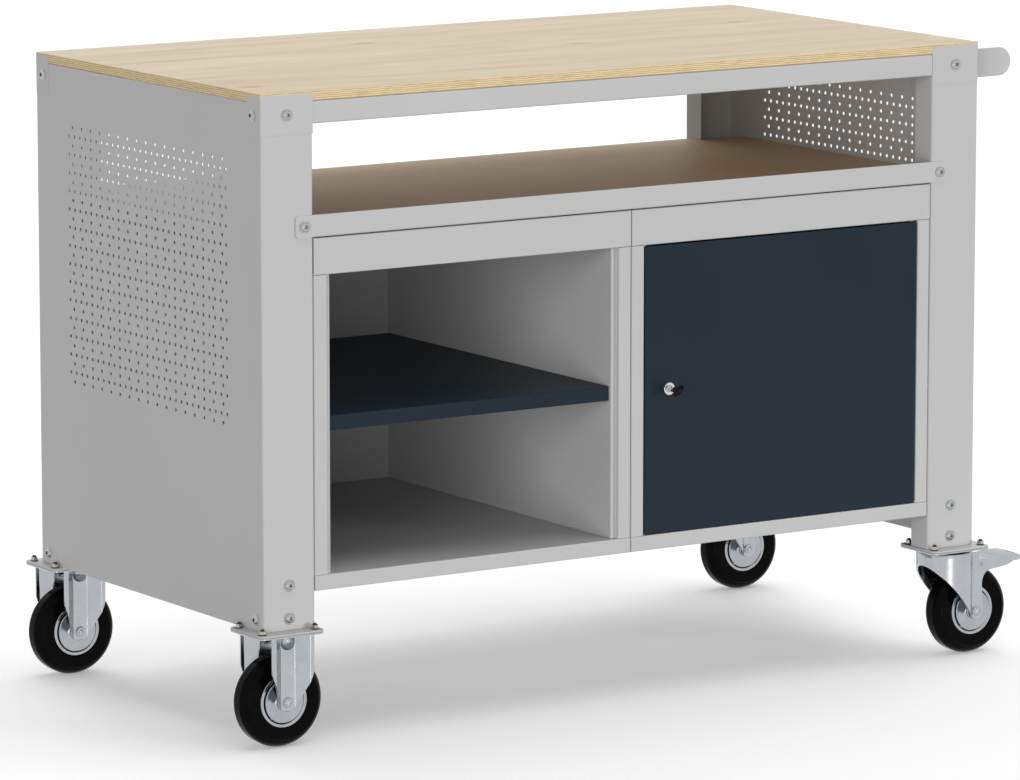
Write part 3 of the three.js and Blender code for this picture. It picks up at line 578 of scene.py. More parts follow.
def mirror(piece, name, axis, plane):
    """A copy on the other side of a plane across an axis, with its faces turned out again."""
    new = copy(piece, name)
    only(new, "EDIT")
    bpy.ops.mesh.select_all(action="SELECT")
    bpy.ops.transform.resize(value=[-1 if i == axis else 1 for i in range(3)],
                             center_override=[plane if i == axis else 0 for i in range(3)])
    if bmesh.from_edit_mesh(new.data).calc_volume(signed=True) < 0:
        bpy.ops.mesh.flip_normals()
    object_mode()
    return new


# %% Planes of the body
board_low, board_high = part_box("worktop")
post_low, post_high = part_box("front_left_post")
left, front = board_low.x, board_low.y
right, rear = board_high.x, board_high.y
middle_x, middle_y = (left + right) / 2, (front + rear) / 2
post_edge = post_high.x
post_depth = post_high.y - front
wall_bottom, wall_top = post_low.z, post_high.z
SHEET = 1.5 * MM
SEAM = 0.2 * MM
print("body", [round(value / MM, 1) for value in (left, right, front, rear, wall_bottom, wall_top)])
CORNERS = [("front_left", False, False), ("front_right", True, False),
           ("rear_left", False, True), ("rear_right", True, True)]


def four_corners(piece, suffix):
    """A front left piece and its mirrored copies, by corner."""
    piece.name = piece.data.name = "front_left_" + suffix
    pieces = {"front_left": piece}
    pieces["front_right"] = mirror(piece, "front_right_" + suffix, 0, middle_x)
    for side in ("left", "right"):
        pieces["rear_" + side] = mirror(pieces["front_" + side], "rear_%s_%s" % (side, suffix), 1, middle_y)
    return pieces


# %% [markdown]
# ## Board and top rails
# The board is a plain panel with its arrises just broken by sandpaper. A cube bevelled all round is
# enough, but it has to carry two kinds of wood, so its faces get their material by direction: the
# broad faces veneer, the sides layers. Under it, front and rear, lies a folded rail.

# %% Board
board = block("plywood_board", board_low, board_high)
soften(board, 0.8 * MM)
dress(board, "frame", "plywood", birch_face, "worktop")
board.data.materials.append(ply_edge)
board.data.materials.append(back_veneer)
for number, test in ((1, lambda face: abs(face.normal.z) < 0.5), (2, lambda face: face.normal.z < -0.5)):
    print("board faces", pick(board, "FACE", test), "get", board.data.materials[number].name)
    board.active_material_index = number
    bpy.ops.object.material_slot_assign()
object_mode()

# %% Top rails
rail_low, rail_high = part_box("front_top_rail")
RAIL_HEM = 15 * MM
front_rail = fold("front_rail", [
    (rail_low.x, rail_high.y, rail_high.z),
    (rail_low.x, rail_low.y, rail_high.z),
    (rail_low.x, rail_low.y, rail_low.z),
    (rail_low.x, rail_low.y + RAIL_HEM, rail_low.z),
], (rail_high.x - rail_low.x, 0, 0), SHEET, (0, 0, -1), 2.2 * MM)
soften(front_rail)
rear_rail = mirror(front_rail, "rear_rail", 1, middle_y)
dress(front_rail, "frame", "grey_paint", grey_coat, "front_top_rail")
dress(rear_rail, "frame", "grey_paint", grey_coat, "rear_top_rail")

# %% [markdown]
# ## End walls
# Each end of the bench is one big folded sheet: the side, a rounded arris to the front and rear post
# faces, and a return behind each. It is drawn in plan and run up. The perforation, wide rows of holes
# with closer rows between, is real: a ten-sided rod is arrayed to each set of rows and cut through
# the sheet, so light and the view pass through the holes as they do on the bench.

# %% Left end wall
end_wall = fold("left_end_wall", [
    (post_edge, front + post_depth, wall_bottom),
    (post_edge, front, wall_bottom),
    (left, front, wall_bottom),
    (left, rear, wall_bottom),
    (post_edge, rear, wall_bottom),
    (post_edge, rear - post_depth, wall_bottom),
], (0, 0, wall_top - wall_bottom), SHEET, (-1, 0, 0), 3 * MM, 5)
soften(end_wall, 0.25 * MM)


# %% Perforation
HOLE_RADIUS = 2.75 * MM
FIRST_ROW = wall_bottom + 265.5 * MM
ROW_PITCH = 25 * MM


def hole_rows(columns, pitch, rows, first_row):
    """A field of rods across the end wall, in even rows and columns."""
    begin = (left, middle_y - (columns - 1) / 2 * pitch, first_row)
    tool = rod("holes", begin, 0, HOLE_RADIUS, 8 * MM, 10)
    apply(tool, "ARRAY", count=columns, use_relative_offset=False, use_constant_offset=True,
          constant_offset_displace=(0, pitch, 0))
    apply(tool, "ARRAY", count=rows, use_relative_offset=False, use_constant_offset=True,
          constant_offset_displace=(0, 0, ROW_PITCH))
    return tool


combine(end_wall, hole_rows(17, 25 * MM, 15, FIRST_ROW), solver="MANIFOLD")
combine(end_wall, hole_rows(29, 15 * MM, 14, FIRST_ROW + ROW_PITCH / 2), solver="MANIFOLD")
right_wall = mirror(end_wall, "right_end_wall", 0, middle_x)
dress(end_wall, "frame", "grey_paint", grey_coat, "left_side_panel", "front_left_post", "rear_left_post")
dress(right_wall, "frame", "grey_paint", grey_coat, "right_side_panel", "front_right_post", "rear_right_post")

# %% [markdown]
# ## Corner brackets and feet
# A thin angle laps over each corner of the board and is screwed to the post, and a plate with two
# tongues up the inside of the post closes the bottom over each castor. Both are made for the front
# left corner and mirrored to the other three.

# %% Brackets
bracket_low, bracket_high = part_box("front_left_bracket")
BRACKET_LEG = 34.5 * MM
BRACKET_SHEET = 0.5 * MM
LAP = SHEET + SEAM
proud = BRACKET_SHEET
bracket = fold("bracket", [
    (post_edge, front - proud, bracket_low.z),
    (left - proud, front - proud, bracket_low.z),
    (left - proud, front + BRACKET_LEG, bracket_low.z),
], (0, 0, bracket_high.z - bracket_low.z), BRACKET_SHEET, (0, 1, 0), 3.4 * MM, 6)
soften(bracket, 0.15 * MM, 1)
for corner, piece in four_corners(bracket, "angle").items():
    dress(piece, "frame", "grey_paint", grey_coat, corner + "_bracket")


# %% Feet
PLATE_ROUND = 10 * MM
FOOT_SHEET = 2.5 * MM
fork_low, fork_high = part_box("front_left_fork")
foot_low, foot_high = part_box("front_left_foot")


def rounded_plate(name, low, high):
    """A plate with rounded corners and broken edges."""
    plate = block(name, low, high)
    pick(plate, "EDGE", lambda edge: along(edge, 2))
    bpy.ops.mesh.bevel(offset=PLATE_ROUND, segments=8, affect="EDGES")
    soften(plate, 0.5 * MM)
    return plate


foot = rounded_plate("foot", (fork_low.x, fork_low.y, foot_low.z),
                     (fork_high.x, fork_high.y, foot_low.z + FOOT_SHEET))
TONGUE = 50 * MM
TONGUE_SIDE = 28 * MM
tongue_x = left + 2 * SHEET + 2 * SEAM
tongue_y = front + SHEET + SEAM
tongues = fold("tongues", [
    (tongue_x + TONGUE, tongue_y, foot_low.z + FOOT_SHEET / 2),
    (tongue_x, tongue_y, foot_low.z + FOOT_SHEET / 2),
    (tongue_x, tongue_y + TONGUE_SIDE, foot_low.z + FOOT_SHEET / 2),
], (0, 0, foot_high.z - foot_low.z - FOOT_SHEET / 2), FOOT_SHEET, (0, 1, 0), 4 * MM)
soften(tongues, 0.4 * MM)
combine(foot, tongues, "UNION")
for corner, piece in four_corners(foot, "foot_plate").items():
    dress(piece, "frame", "grey_paint", grey_coat, corner + "_foot")

# %% [markdown]
# ## Screws and nuts
# The bench is held by flanged button-head screws with a six-lobed socket, and each castor by four nuts
# on washers. A screw is turned from a half section and its socket cut with a star-shaped prism. Each is
# modelled once, copied to every place and turned to face out of the sheet that it holds.

# %% Screw
SCREW = [(0, 3.3), (3.7, 3.3), (4.7, 2.9), (5.5, 2.2), (5.9, 1.3), (6.3, 1.1), (7.4, 1.3), (8.0, 0.8), (8.0, -0.6), (0, -0.6)]
screw = turn("screw", [(radius, -place) for radius, place in SCREW], (0, 0, 0), 1, 28)
lobes = [(3.5 if number % 2 else 2.4, math.radians(30 * number)) for number in range(12)]
socket = [(radius * math.cos(angle) * MM, -4 * MM, radius * math.sin(angle) * MM) for radius, angle in lobes]
combine(screw, prism("socket", socket, (0, 3.6 * MM, 0)))
post_middle = (left + post_edge) / 2
bracket_middle = (bracket_low.z + bracket_high.z) / 2
SIDE_INSET = 20 * MM
TAB_INSET = 13.75 * MM
tray_low, tray_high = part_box("tray_shelf")
lip_middle = (tray_low.z + tray_high.z) / 2
front_places = [(post_middle, front - proud, bracket_middle)]
front_places += [(post_middle, front, wall_bottom + height * MM) for height in (16, 60)]
side_places = [(left - proud, front + SIDE_INSET, bracket_middle), (left, front + SIDE_INSET, wall_bottom + 15 * MM)]
screws = []
for number, place in enumerate(front_places):
    screws.append(copy(screw, "front_left_screw_%d" % number, place))
for number, place in enumerate(side_places):
    screws.append(copy(screw, "left_front_screw_%d" % number, place, math.pi / 2))
for piece in list(screws):
    screws.append(mirror(piece, piece.name.replace("left", "right"), 0, middle_x))
for piece in list(screws):
    screws.append(mirror(piece, piece.name.replace("front", "rear"), 1, middle_y))
tray_screw = copy(screw, "left_tray_screw", (post_edge - TAB_INSET, front - LAP, lip_middle))
screws += [tray_screw, mirror(tray_screw, "right_tray_screw", 0, middle_x)]
for piece in screws:
    dress(piece, "frame", "zinc", screw_zinc)
bpy.data.objects.remove(screw)

# %% Nuts
NUT_RADIUS = 8.8 / 2 / math.cos(math.pi / 6)
NUT_HEIGHT = 5.8
nut = rod("nut", (0, 0, (1.2 + NUT_HEIGHT) / 2 * MM), 2, NUT_RADIUS * MM, (NUT_HEIGHT - 1.2) * MM, 6)
nut_dome = turn("dome", [(0, 1.0), (9, 1.0), (9, 3.2), (4.2, NUT_HEIGHT), (0, NUT_HEIGHT)], (0, 0, 0), 2, 32)
combine(nut, nut_dome, "INTERSECT")
combine(nut, turn("washer", [(0, -0.1), (5.4, -0.1), (5.4, 1.0), (5.1, 1.3), (0, 1.3)], (0, 0, 0), 2, 32), "UNION")
combine(nut, turn("bolt_end", [(0, 1), (2.6, 1), (2.6, 7.4), (2.0, 8.0), (0, 8.0)], (0, 0, 0), 2, 24), "UNION")
nut.data.materials.append(nut_zinc)
nut.data.materials.append(dark_steel)
pick(nut, "FACE", lambda face: not 1.35 < face.calc_center_median().z / MM < NUT_HEIGHT - 0.05)
nut.active_material_index = 1
bpy.ops.object.material_slot_assign()
castor_x, castor_y = (fork_low.x + fork_high.x) / 2, (fork_low.y + fork_high.y) / 2
BOLT_X, BOLT_Y = 40 * MM, 30 * MM
for number, (side_x, side_y) in enumerate([(-1, -1), (1, -1), (-1, 1), (1, 1)]):
    place = (castor_x + side_x * BOLT_X, castor_y + side_y * BOLT_Y, foot_low.z + FOOT_SHEET)
    master = copy(nut, "nut_%d" % number, place, math.radians(30))
    for piece in four_corners(master, "nut_%d" % number).values():
        dress(piece, "frame", "zinc", nut_zinc)
bpy.data.objects.remove(nut)

# %% [markdown]
# ## Tray shelf
# Under the open slot lies a shallow tray. Its floor runs between the posts and out to the end walls,
# and its front edge stands up as a lip that laps over the post faces with a rounded tab at each end.
# The folded middle, the wings of the floor and the tabs are made apart and joined into one sheet.

# %% Tray
neck = post_edge + SEAM
tray_front, tray_rear = front - LAP, tray_high.y
tray = fold("tray", [
    (neck, tray_front, tray_high.z),
    (neck, tray_front, tray_low.z),
    (neck, tray_rear, tray_low.z),
], (2 * (middle_x - neck), 0, 0), SHEET, (0, 1, 0), 2.4 * MM)
wing = block("wing", (tray_low.x, front + post_depth + SEAM, tray_low.z),
             (neck + 2 * MM, rear - post_depth - SEAM, tray_low.z + SHEET))
combine(tray, mirror(wing, "far_wing", 0, middle_x), "UNION")
combine(tray, wing, "UNION")
TAB = 27.5 * MM
tab = block("tab", (post_edge - TAB, tray_front, tray_low.z + 0.4 * MM), (neck + 2 * MM, tray_front + SHEET, tray_high.z))
pick(tab, "EDGE", lambda edge: along(edge, 1) and at_place(edge, 0, post_edge - TAB))
bpy.ops.mesh.bevel(offset=5 * MM, segments=6, affect="EDGES")
combine(tray, mirror(tab, "far_tab", 0, middle_x), "UNION")
combine(tray, tab, "UNION")
notch = block("notch", (middle_x - 2.5 * MM, tray_rear - 3 * MM, tray_low.z - SHEET),
              (middle_x + 2.5 * MM, tray_rear + 3 * MM, tray_low.z + 3 * SHEET))
combine(tray, notch)
soften(tray, 0.3 * MM)
dress(tray, "frame", "grey_paint", grey_coat, "tray_shelf")
# The tray floor's upward faces get the browner coat: painted warm bounce light from the plywood above, on grey steel.
tray.data.materials.append(tray_coat)
print("tray floor faces", pick(tray, "FACE", lambda face: face.normal.z > 0.9 and face.calc_center_median().z < lip_middle))
tray.active_material_index = 1
bpy.ops.object.material_slot_assign()
object_mode()

# %% [markdown]
# ## Push handle
# On the right end two bent straps carry a tube to push the bench by. A strap is a fold with a generous
# bend, and its free end is made round by bevelling its two corners by half its height. The tube is a
# cylinder without its ends, thickened inwards.

# %% Handle
cheek_low, cheek_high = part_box("handle_front_cheek")
HANDLE_SHEET = 3 * MM
cheek = fold("front_strap", [
    (cheek_low.x, cheek_high.y, cheek_low.z),
    (cheek_low.x, cheek_low.y, cheek_low.z),
    (cheek_high.x, cheek_low.y, cheek_low.z),
], (0, 0, cheek_high.z - cheek_low.z), HANDLE_SHEET, (1, 0, 0), 8 * MM, 8)
pick(cheek, "EDGE", lambda edge: along(edge, 1) and at_place(edge, 0, cheek_high.x))
bpy.ops.mesh.bevel(offset=(cheek_high.z - cheek_low.z) / 2 - 0.05 * MM, segments=12, affect="EDGES")
soften(cheek, 0.5 * MM)
rear_cheek = mirror(cheek, "rear_strap", 1, middle_y)
dress(cheek, "frame", "grey_paint", grey_coat, "handle_front_cheek")
dress(rear_cheek, "frame", "grey_paint", grey_coat, "handle_rear_cheek")
tube_low, tube_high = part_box("handle_tube")
tube_radius = (tube_high.z - tube_low.z) / 2
tube = rod("push_tube", (tube_low + tube_high) / 2, 1, tube_radius, tube_high.y - tube_low.y, 48)
pick(tube, "FACE", lambda face: abs(face.normal.y) > 0.9)
bpy.ops.mesh.delete(type="FACE")
apply(tube, "SOLIDIFY", thickness=2 * MM, offset=-1)
soften(tube, 0.3 * MM)
dress(tube, "frame", "grey_paint", grey_coat, "handle_tube")

# %% [markdown]
# ## Cabinet modules
# Each module is a box of folded sheets: a roof whose front edge is the fascia, a floor with a low
# front lip, two walls whose front edges fold into a stile with a rebate for a door, and a back. The
# wall is drawn in plan once and mirrored. Small lugs on the walls carry a shelf, a pan with its four
# edges folded down. The seams between such boxes could be drawn on as lines. Here they are real gaps, and
# a tongue behind each end of the lip keeps daylight out of them, so they look dark from any side.

# %% Module sheets
MODULE_SHEET = 1.2 * MM
STILE = 20 * MM
REBATE = 6.5 * MM
STRIP = 8 * MM
module_bend = 1.7 * MM
MODULE_SHIFT = {"left_cabinet": (-0.3 * MM, -0.3 * MM), "right_cabinet": (0.1 * MM, -0.7 * MM)}
ROOF_DROP = 0.8 * MM
TONGUE = 0.65 * MM


def module_fold(name, low, high, hem, hem_height, sheet_height):
    """A roof or floor: hem, front face and sheet in one fold."""
    section = [(low.x, front + hem, hem_height), (low.x, front, hem_height),
               (low.x, front, sheet_height), (low.x, high.y, sheet_height)]
    piece = fold(name, section, (high.x - low.x, 0, 0), MODULE_SHEET, (0, 0, 1), module_bend)
    soften(piece, 0.25 * MM)
    return piece


def lip_tongue(base, end, outward, reach):
    """Closes the seam beside one end of a floor's lip, a little behind its face."""
    inner = end - outward * 3 * MM
    outer = end + outward * reach
    low_z, high_z = base.bound_box[0][2] + 0.5 * MM, base.bound_box[1][2] - 0.2 * MM
    tongue = block("tongue", (min(inner, outer), front + 3 * MM, low_z), (max(inner, outer), front + 9 * MM, high_z))
    combine(base, tongue, "UNION")


def module_wall(name, module_left, wall_low, wall_high, opening_top, shelf_low):
    """The left wall of a module: stile, rebate and side sheet in one fold, with lugs for the shelf."""
    face = module_left + STILE + STRIP
    section = [(module_left, front + STILE), (module_left, front), (module_left + STILE, front),
               (module_left + STILE, front + REBATE), (face, front + REBATE), (face, wall_high.y)]
    wall = fold(name, [(x, y, wall_low.z) for x, y in section], (0, 0, opening_top - SEAM - wall_low.z),
                MODULE_SHEET, (1, 0, 0), module_bend)
    soften(wall, 0.25 * MM)
    upper = block("upper", (face - MODULE_SHEET, front + 14.2 * MM, opening_top - 1.4 * MM),
                  (face, wall_high.y, wall_high.z))
    combine(wall, upper, "UNION")
    lug_top = shelf_low - SEAM
    for begin in (front + 70 * MM, wall_high.y - 99.8 * MM):
        lug = block("lug", (face - MODULE_SHEET, begin, lug_top - 3 * MM), (face + 9 * MM, begin + 30 * MM, lug_top))
        soften(lug, 0.6 * MM)
        combine(wall, lug, "UNION")
    return wall


def folded_pan(name, low, high, open_side, thickness, corner, edge_round):
    """A block opened on one side, with rounded edges, thickened inwards."""
    pan = block(name, low, high)
    pick(pan, "FACE", lambda face: face.normal.dot(Vector(open_side)) > 0.9)
    bpy.ops.mesh.delete(type="FACE")
    axis = [abs(value) for value in open_side].index(1)
    pick(pan, "EDGE", lambda edge: along(edge, axis))
    bpy.ops.mesh.bevel(offset=corner, segments=4, affect="EDGES")
    far = low[axis] if open_side[axis] > 0 else high[axis]
    pick(pan, "EDGE", lambda edge: at_place(edge, axis, far))
    bpy.ops.mesh.bevel(offset=edge_round, segments=3, affect="EDGES")
    apply(pan, "SOLIDIFY", thickness=thickness, offset=-1, use_even_offset=True)
    return pan


# %% Build both modules
RIVET = [(0, 1.5), (1.6, 1.4), (2.8, 0.9), (3.3, 0.0), (3.3, -0.5), (0, -0.5)]
rivet = turn("rivet", RIVET, (0, 0, 0), 1, 16)
for module in ("left_cabinet", "right_cabinet"):
    roof_low, roof_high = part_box(module + "_roof")
    floor_low, floor_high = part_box(module + "_floor")
    wall_low, wall_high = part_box(module + "_left_wall")
    back_low, back_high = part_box(module + "_back")
    shelf_low, shelf_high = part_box(module + "_shelf")
    for low, high in ((roof_low, roof_high), (floor_low, floor_high), (back_low, back_high)):
        low.x += MODULE_SHIFT[module][0]
        high.x += MODULE_SHIFT[module][1]
    for corner in (roof_high, wall_high, back_high):
        corner.z -= ROOF_DROP
    back_low.z -= SEAM
    roof = module_fold(module + "_fascia_roof", roof_low, roof_high, 14 * MM, roof_low.z, roof_high.z)
    base = module_fold(module + "_lip_floor", floor_low, floor_high, 10 * MM, floor_low.z, floor_high.z)
    for end, side in ((floor_low.x, -1), (floor_high.x, 1)):
        lip_tongue(base, end, side, TONGUE)
    wall = module_wall(module + "_left_side", roof_low.x, wall_low, wall_high, roof_low.z, shelf_low.z)
    far_wall = mirror(wall, module + "_right_side", 0, (roof_low.x + roof_high.x) / 2)
    if module == "right_cabinet":
        cam_low, cam_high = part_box("lock_cam")
        slot_low = (wall_low.x, cam_low.y - 1.5 * MM, cam_low.z + 0.5 * MM)
        slot_high = (roof_low.x + STILE + STRIP + MM, cam_high.y + 1.5 * MM, cam_high.z - 16.4 * MM)
        combine(wall, block("cam_slot", slot_low, slot_high))
        pin_low, pin_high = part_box("door_top_pin")
        for sheet in (roof, base):
            place = ((pin_low.x + pin_high.x) / 2, (pin_low.y + pin_high.y) / 2, sheet.bound_box[0][2])
            combine(sheet, rod("pin_bore", place, 2, 2.1 * MM, 60 * MM, 16))
    back = block(module + "_back_sheet", back_low, back_high)
    soften(back, 0.4 * MM)
    shelf = folded_pan(module + "_shelf_pan", shelf_low, shelf_high, (0, 0, -1), MODULE_SHEET, 2 * MM, 1.8 * MM)
    soften(shelf, 0.25 * MM)
    dress(roof, "frame", "grey_paint", grey_coat, module + "_roof")
    dress(base, "frame", "grey_paint", grey_coat, module + "_floor")
    dress(wall, "frame", "grey_paint", grey_coat, module + "_left_wall")
    dress(far_wall, "frame", "grey_paint", grey_coat, module + "_right_wall")
    dress(back, "frame", "grey_paint", grey_coat, module + "_back")
    dress(shelf, "frame", "dark_paint", dark_coat, module + "_shelf")
    for number in range(8):
        side = back_low.x + 12 * MM if number % 2 else back_high.x - 12 * MM
        height = back_low.z + 30 * MM + (number // 2) * (back_high.z - back_low.z - 60 * MM) / 3
        piece = copy(rivet, "%s_rivet_%d" % (module, number), (side, back_high.y, height), math.pi)
        dress(piece, "frame", "zinc", zinc)
bpy.data.objects.remove(rivet)

# %% [markdown]
# ## Door and lock
# The door is a shallow anthracite pan that lies in the rebate and turns on two pins. It is a block
# opened at the back, rounded at its corners and front edges and thickened inwards, with a bore for the
# lock. The lock's rose and barrel are turned, and the key stands in the plug.

# %% Door
door_low, door_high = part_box("door_panel")
DOOR_LOCK_GAP, DOOR_PIN_GAP = Vector((0.7 * MM, 0, 0)), Vector((0.7 * MM, 0, 0.9 * MM))
door = folded_pan("door_pan", door_low + DOOR_LOCK_GAP, door_high - DOOR_PIN_GAP, (0, 1, 0),
                  MODULE_SHEET, 4 * MM, 1.0 * MM)
rose_low, rose_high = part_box("lock_housing")
lock_x, lock_z = (rose_low.x + rose_high.x) / 2, (rose_low.z + rose_high.z) / 2
combine(door, rod("lock_bore", (lock_x, door_low.y, lock_z), 1, 7.8 * MM, 30 * MM, 32))
soften(door, 0.2 * MM)
dress(door, "door", "dark_paint", dark_coat, "door_panel")

# %% Lock
rose_front, barrel_end = rose_low.y / MM, rose_high.y / MM
rose = turn("lock_rose", [
    (4.8, rose_front + 0.4), (5.2, rose_front), (7.4, rose_front), (8.4, rose_front + 0.5),
    (8.75, rose_front + 1.2), (8.75, rose_front + 2), (7.5, rose_front + 2), (7.5, barrel_end - 0.4),
    (7.1, barrel_end), (4.8, barrel_end),
], (lock_x, 0, lock_z), 1)
dress(rose, "door", "chrome", polished, "lock_housing")
plug_low, plug_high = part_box("lock_plug")
plug = turn("lock_cylinder", [
    (0, plug_low.y / MM + 0.2), (4.1, plug_low.y / MM + 0.2), (4.5, plug_low.y / MM + 0.6),
    (4.5, plug_high.y / MM), (0, plug_high.y / MM),
], (lock_x, 0, lock_z), 1, 32)
KEY_TURN = math.radians(45)
lock_axis = (lock_x, 0, lock_z)


def turn_key(piece):
    """Turns an upright piece about the lock's axis, to the angle at which the key stands."""
    only(piece, "EDIT")
    bpy.ops.mesh.select_all(action="SELECT")
    bpy.ops.transform.rotate(value=-KEY_TURN, orient_axis="Y", center_override=lock_axis)
    object_mode()


keyway = block("keyway", (lock_x - 1.3 * MM, plug_low.y - MM, lock_z - 3.5 * MM),
               (lock_x + 1.3 * MM, plug_low.y + 16.3 * MM, lock_z + 3.5 * MM))
turn_key(keyway)
combine(plug, keyway)
dress(plug, "lock", "chrome", polished, "lock_plug")

# %% Key
BOW_RADIUS, BOW_SHEET = 9.5, 2.2
key_low, key_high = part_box("key")
key_tip = key_low.y / MM


def key_point(across, along_y, up):
    """A place in the upright key: mm from the lock's axis, and mm from the tip of the bow."""
    return (lock_x + across * MM, (key_tip + along_y) * MM, lock_z + up * MM)


bow_outline = arc((BOW_RADIUS, 0), BOW_RADIUS, 62, 298, 28) + [(15, -4.6), (18, -3.6), (25, -3.6), (25, 3.6), (18, 3.6), (15, 4.6)]
bow = prism("key_bow", [key_point(-BOW_SHEET / 2, y, z) for y, z in bow_outline], (BOW_SHEET * MM, 0, 0))
combine(bow, rod("key_ring_hole", key_point(0, 5, 0), 0, 2.6 * MM, 10 * MM, 24))
soften(bow, 0.5 * MM, 3)
blade = block("key_blade", key_point(-1, 24, -3.2), (lock_x + MM, key_high.y, lock_z + 3.2 * MM))
for place, depth in ((35, 1.4), (39, 2.2), (43, 1.1)):
    combine(blade, rod("tooth", key_point(0, place, depth - 4.6), 0, 1.6 * MM, 8 * MM, 12))
soften(blade, 0.2 * MM)
turn_key(bow)
turn_key(blade)
dress(bow, "lock", "key_plastic", key_plastic, "key")
dress(blade, "lock", "zinc", polished)

# %% [markdown]
# ## Castor wheels
# The wheels turn about the bench's depth axis. Tyre, rim and axle are turned shapes: a half section is
# drawn and spun. The tyre has a tread band between round shoulders and a bead against the rim; the rim is a drum with a hub
# and a thread guard, a thin disc in front of it. One of each is made and copied to the four wheels.

# %% Wheels
wheel_low, wheel_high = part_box("front_left_tyre")
wheel_middle = (wheel_low + wheel_high) / 2
HALF_TYRE = [(35.75, 17.0), (36.6, 17.6), (38.6, 17.9), (45.0, 18.35), (50.2, 18.75), (51.6, 18.7),
             (52.3, 17.9), (53.6, 17.6), (56.4, 15.8), (58.6, 13.8), (60.2, 11.6), (61.2, 9.6), (61.7, 8.2),
             (62.2, 7.6), (62.5, 6.8), (62.5, 2.0)]
HALF_RIM = [(5.3, 24.1), (12.4, 24.1), (13.0, 23.5), (13.0, 19.4), (14.4, 18.6), (17.5, 18.3), (24.5, 18.3),
            (26.4, 19.0), (28.2, 19.0), (29.0, 18.3), (29.0, 17.5), (27.5, 17.2), (13.0, 17.0), (13.0, 3.0),
            (28.2, 3.0), (30.4, 16.2), (31.4, 17.0), (34.8, 17.0), (35.45, 16.4), (35.45, 15.2)]
HALF_AXLE = [(0, 28.5), (5.4, 28.5), (6.7, 28.1), (7.2, 27.3), (5.0, 27.2)]


def both_halves(half):
    """A section mirrored over the wheel's middle plane."""
    return [(radius, -place) for radius, place in half] + list(reversed(half))


tyre = turn("tyre", both_halves(HALF_TYRE), wheel_middle, 1, 72)
rim = turn("rim", both_halves(HALF_RIM), wheel_middle, 1, 56)
axle = turn("axle", both_halves(HALF_AXLE), wheel_middle, 1, 24)
for side in (-1, 1):
    base = wheel_middle + Vector((0, side * 28 * MM, 0))
    points = [(5.6 if number % 2 else 2.4, math.radians(36 * number)) for number in range(10)]
    star = prism("star", [base + Vector((math.sin(angle), 0, math.cos(angle))) * radius * MM for radius, angle in points],
                 (0, side * 2 * MM, 0))
    top = base + Vector((0, side * 2 * MM, 0))
    pick(star, "VERT", lambda vertex: abs(vertex.co.y - top.y) < 0.01 * MM)
    bpy.ops.transform.resize(value=(0.25, 1, 0.25), center_override=top)
    combine(axle, star, "UNION")
# The star-peened axle ends get the brighter polished metal; it is partly their real bright finish and partly a painted
# highlight on them.
axle.data.materials.append(zinc)
axle.data.materials.append(polished)
pick(axle, "FACE", lambda face: abs(face.calc_center_median().y - wheel_middle.y) > 28.6 * MM)
axle.active_material_index = 1
bpy.ops.object.material_slot_assign()
object_mode()
for corner, on_right, at_rear in CORNERS:
    low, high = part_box(corner + "_tyre")
    move = (low + high) / 2 - wheel_middle
    holder = corner + "_swivel" if on_right else "frame"
    dress(copy(tyre, corner + "_rubber_tyre", move), corner + "_wheel", "tyre", rubber, corner + "_tyre")
    dress(copy(rim, corner + "_wheel_rim", move), corner + "_wheel", "zinc", zinc, corner + "_rim")
    dress(copy(axle, corner + "_axle_bolt", move), holder, "zinc", zinc, corner + "_axle")
for master in (tyre, rim, axle):
    bpy.data.objects.remove(master)

# %% [markdown]
# ## Fixed castor forks
# The left castors cannot steer. Each fork leg is pressed from plate as a trough: a flat floor beside the
# wheel, two wings that flare out to the edge of the top plate, and a narrow rim on each, all tapering off
# towards the axle. The trough is folded in plan, a side outline keeps what belongs to the leg, and a
# half-round pocket is pressed in where it meets the plate.

# %% Fixed forks
FORK_SHEET = 2.5 * MM
plate_top = fork_high.z
plate_bottom = plate_top - FORK_SHEET
TROUGH, WING_FOLD, WING = 11 * MM, 26 * MM, 32 * MM
LEG_OUTER, WING_OUTER = 27 * MM, 42 * MM
TAPER_TOP, LEG_TIP = 102 * MM, 52 * MM
leg = fold("fixed_leg", [
    (castor_x - WING, castor_y - WING_OUTER, LEG_TIP),
    (castor_x - WING_FOLD, castor_y - WING_OUTER, LEG_TIP),
    (castor_x - TROUGH, castor_y - LEG_OUTER, LEG_TIP),
    (castor_x + TROUGH, castor_y - LEG_OUTER, LEG_TIP),
    (castor_x + WING_FOLD, castor_y - WING_OUTER, LEG_TIP),
    (castor_x + WING, castor_y - WING_OUTER, LEG_TIP),
], (0, 0, plate_bottom + MM - LEG_TIP), FORK_SHEET, (0, 1, 0), 1.2 * MM, 5)
half_side = [(0, LEG_TIP), (TROUGH - 4 * MM, LEG_TIP), (TROUGH - 1.2 * MM, LEG_TIP + 1.2 * MM),
             (TROUGH, LEG_TIP + 4 * MM), (WING - 2 * MM, TAPER_TOP - 4 * MM), (WING, TAPER_TOP + 3 * MM),
             (WING + MM, plate_top)]
side_outline = half_side + [(-x, z) for x, z in reversed(half_side[1:])]
leg_shape = prism("leg_shape", [(castor_x + x, castor_y - WING_OUTER - 5 * MM, z) for x, z in side_outline],
                  (0, 40 * MM, 0))
combine(leg, leg_shape, "INTERSECT")
relief_z = plate_bottom - 8.5 * MM
combine(leg, rod("relief", (castor_x, castor_y - LEG_OUTER, relief_z), 1, 10.8 * MM, 14 * MM, 32))
soften(leg, 0.3 * MM)
POCKET = [(0, 8.4), (4.0, 8.0), (7.0, 6.4), (9.2, 3.6), (10.4, 0.8), (11.0, -0.4), (11.7, -0.1), (11.7, 4.4),
          (8.4, 8.6), (4.4, 10.4), (0, 10.8)]
pocket = turn("pocket", POCKET, (castor_x, castor_y - LEG_OUTER, relief_z), 1, 32)
below = block("below_plate", (fork_low.x, fork_low.y, 0), (fork_high.x, fork_high.y, plate_bottom + MM / 2))
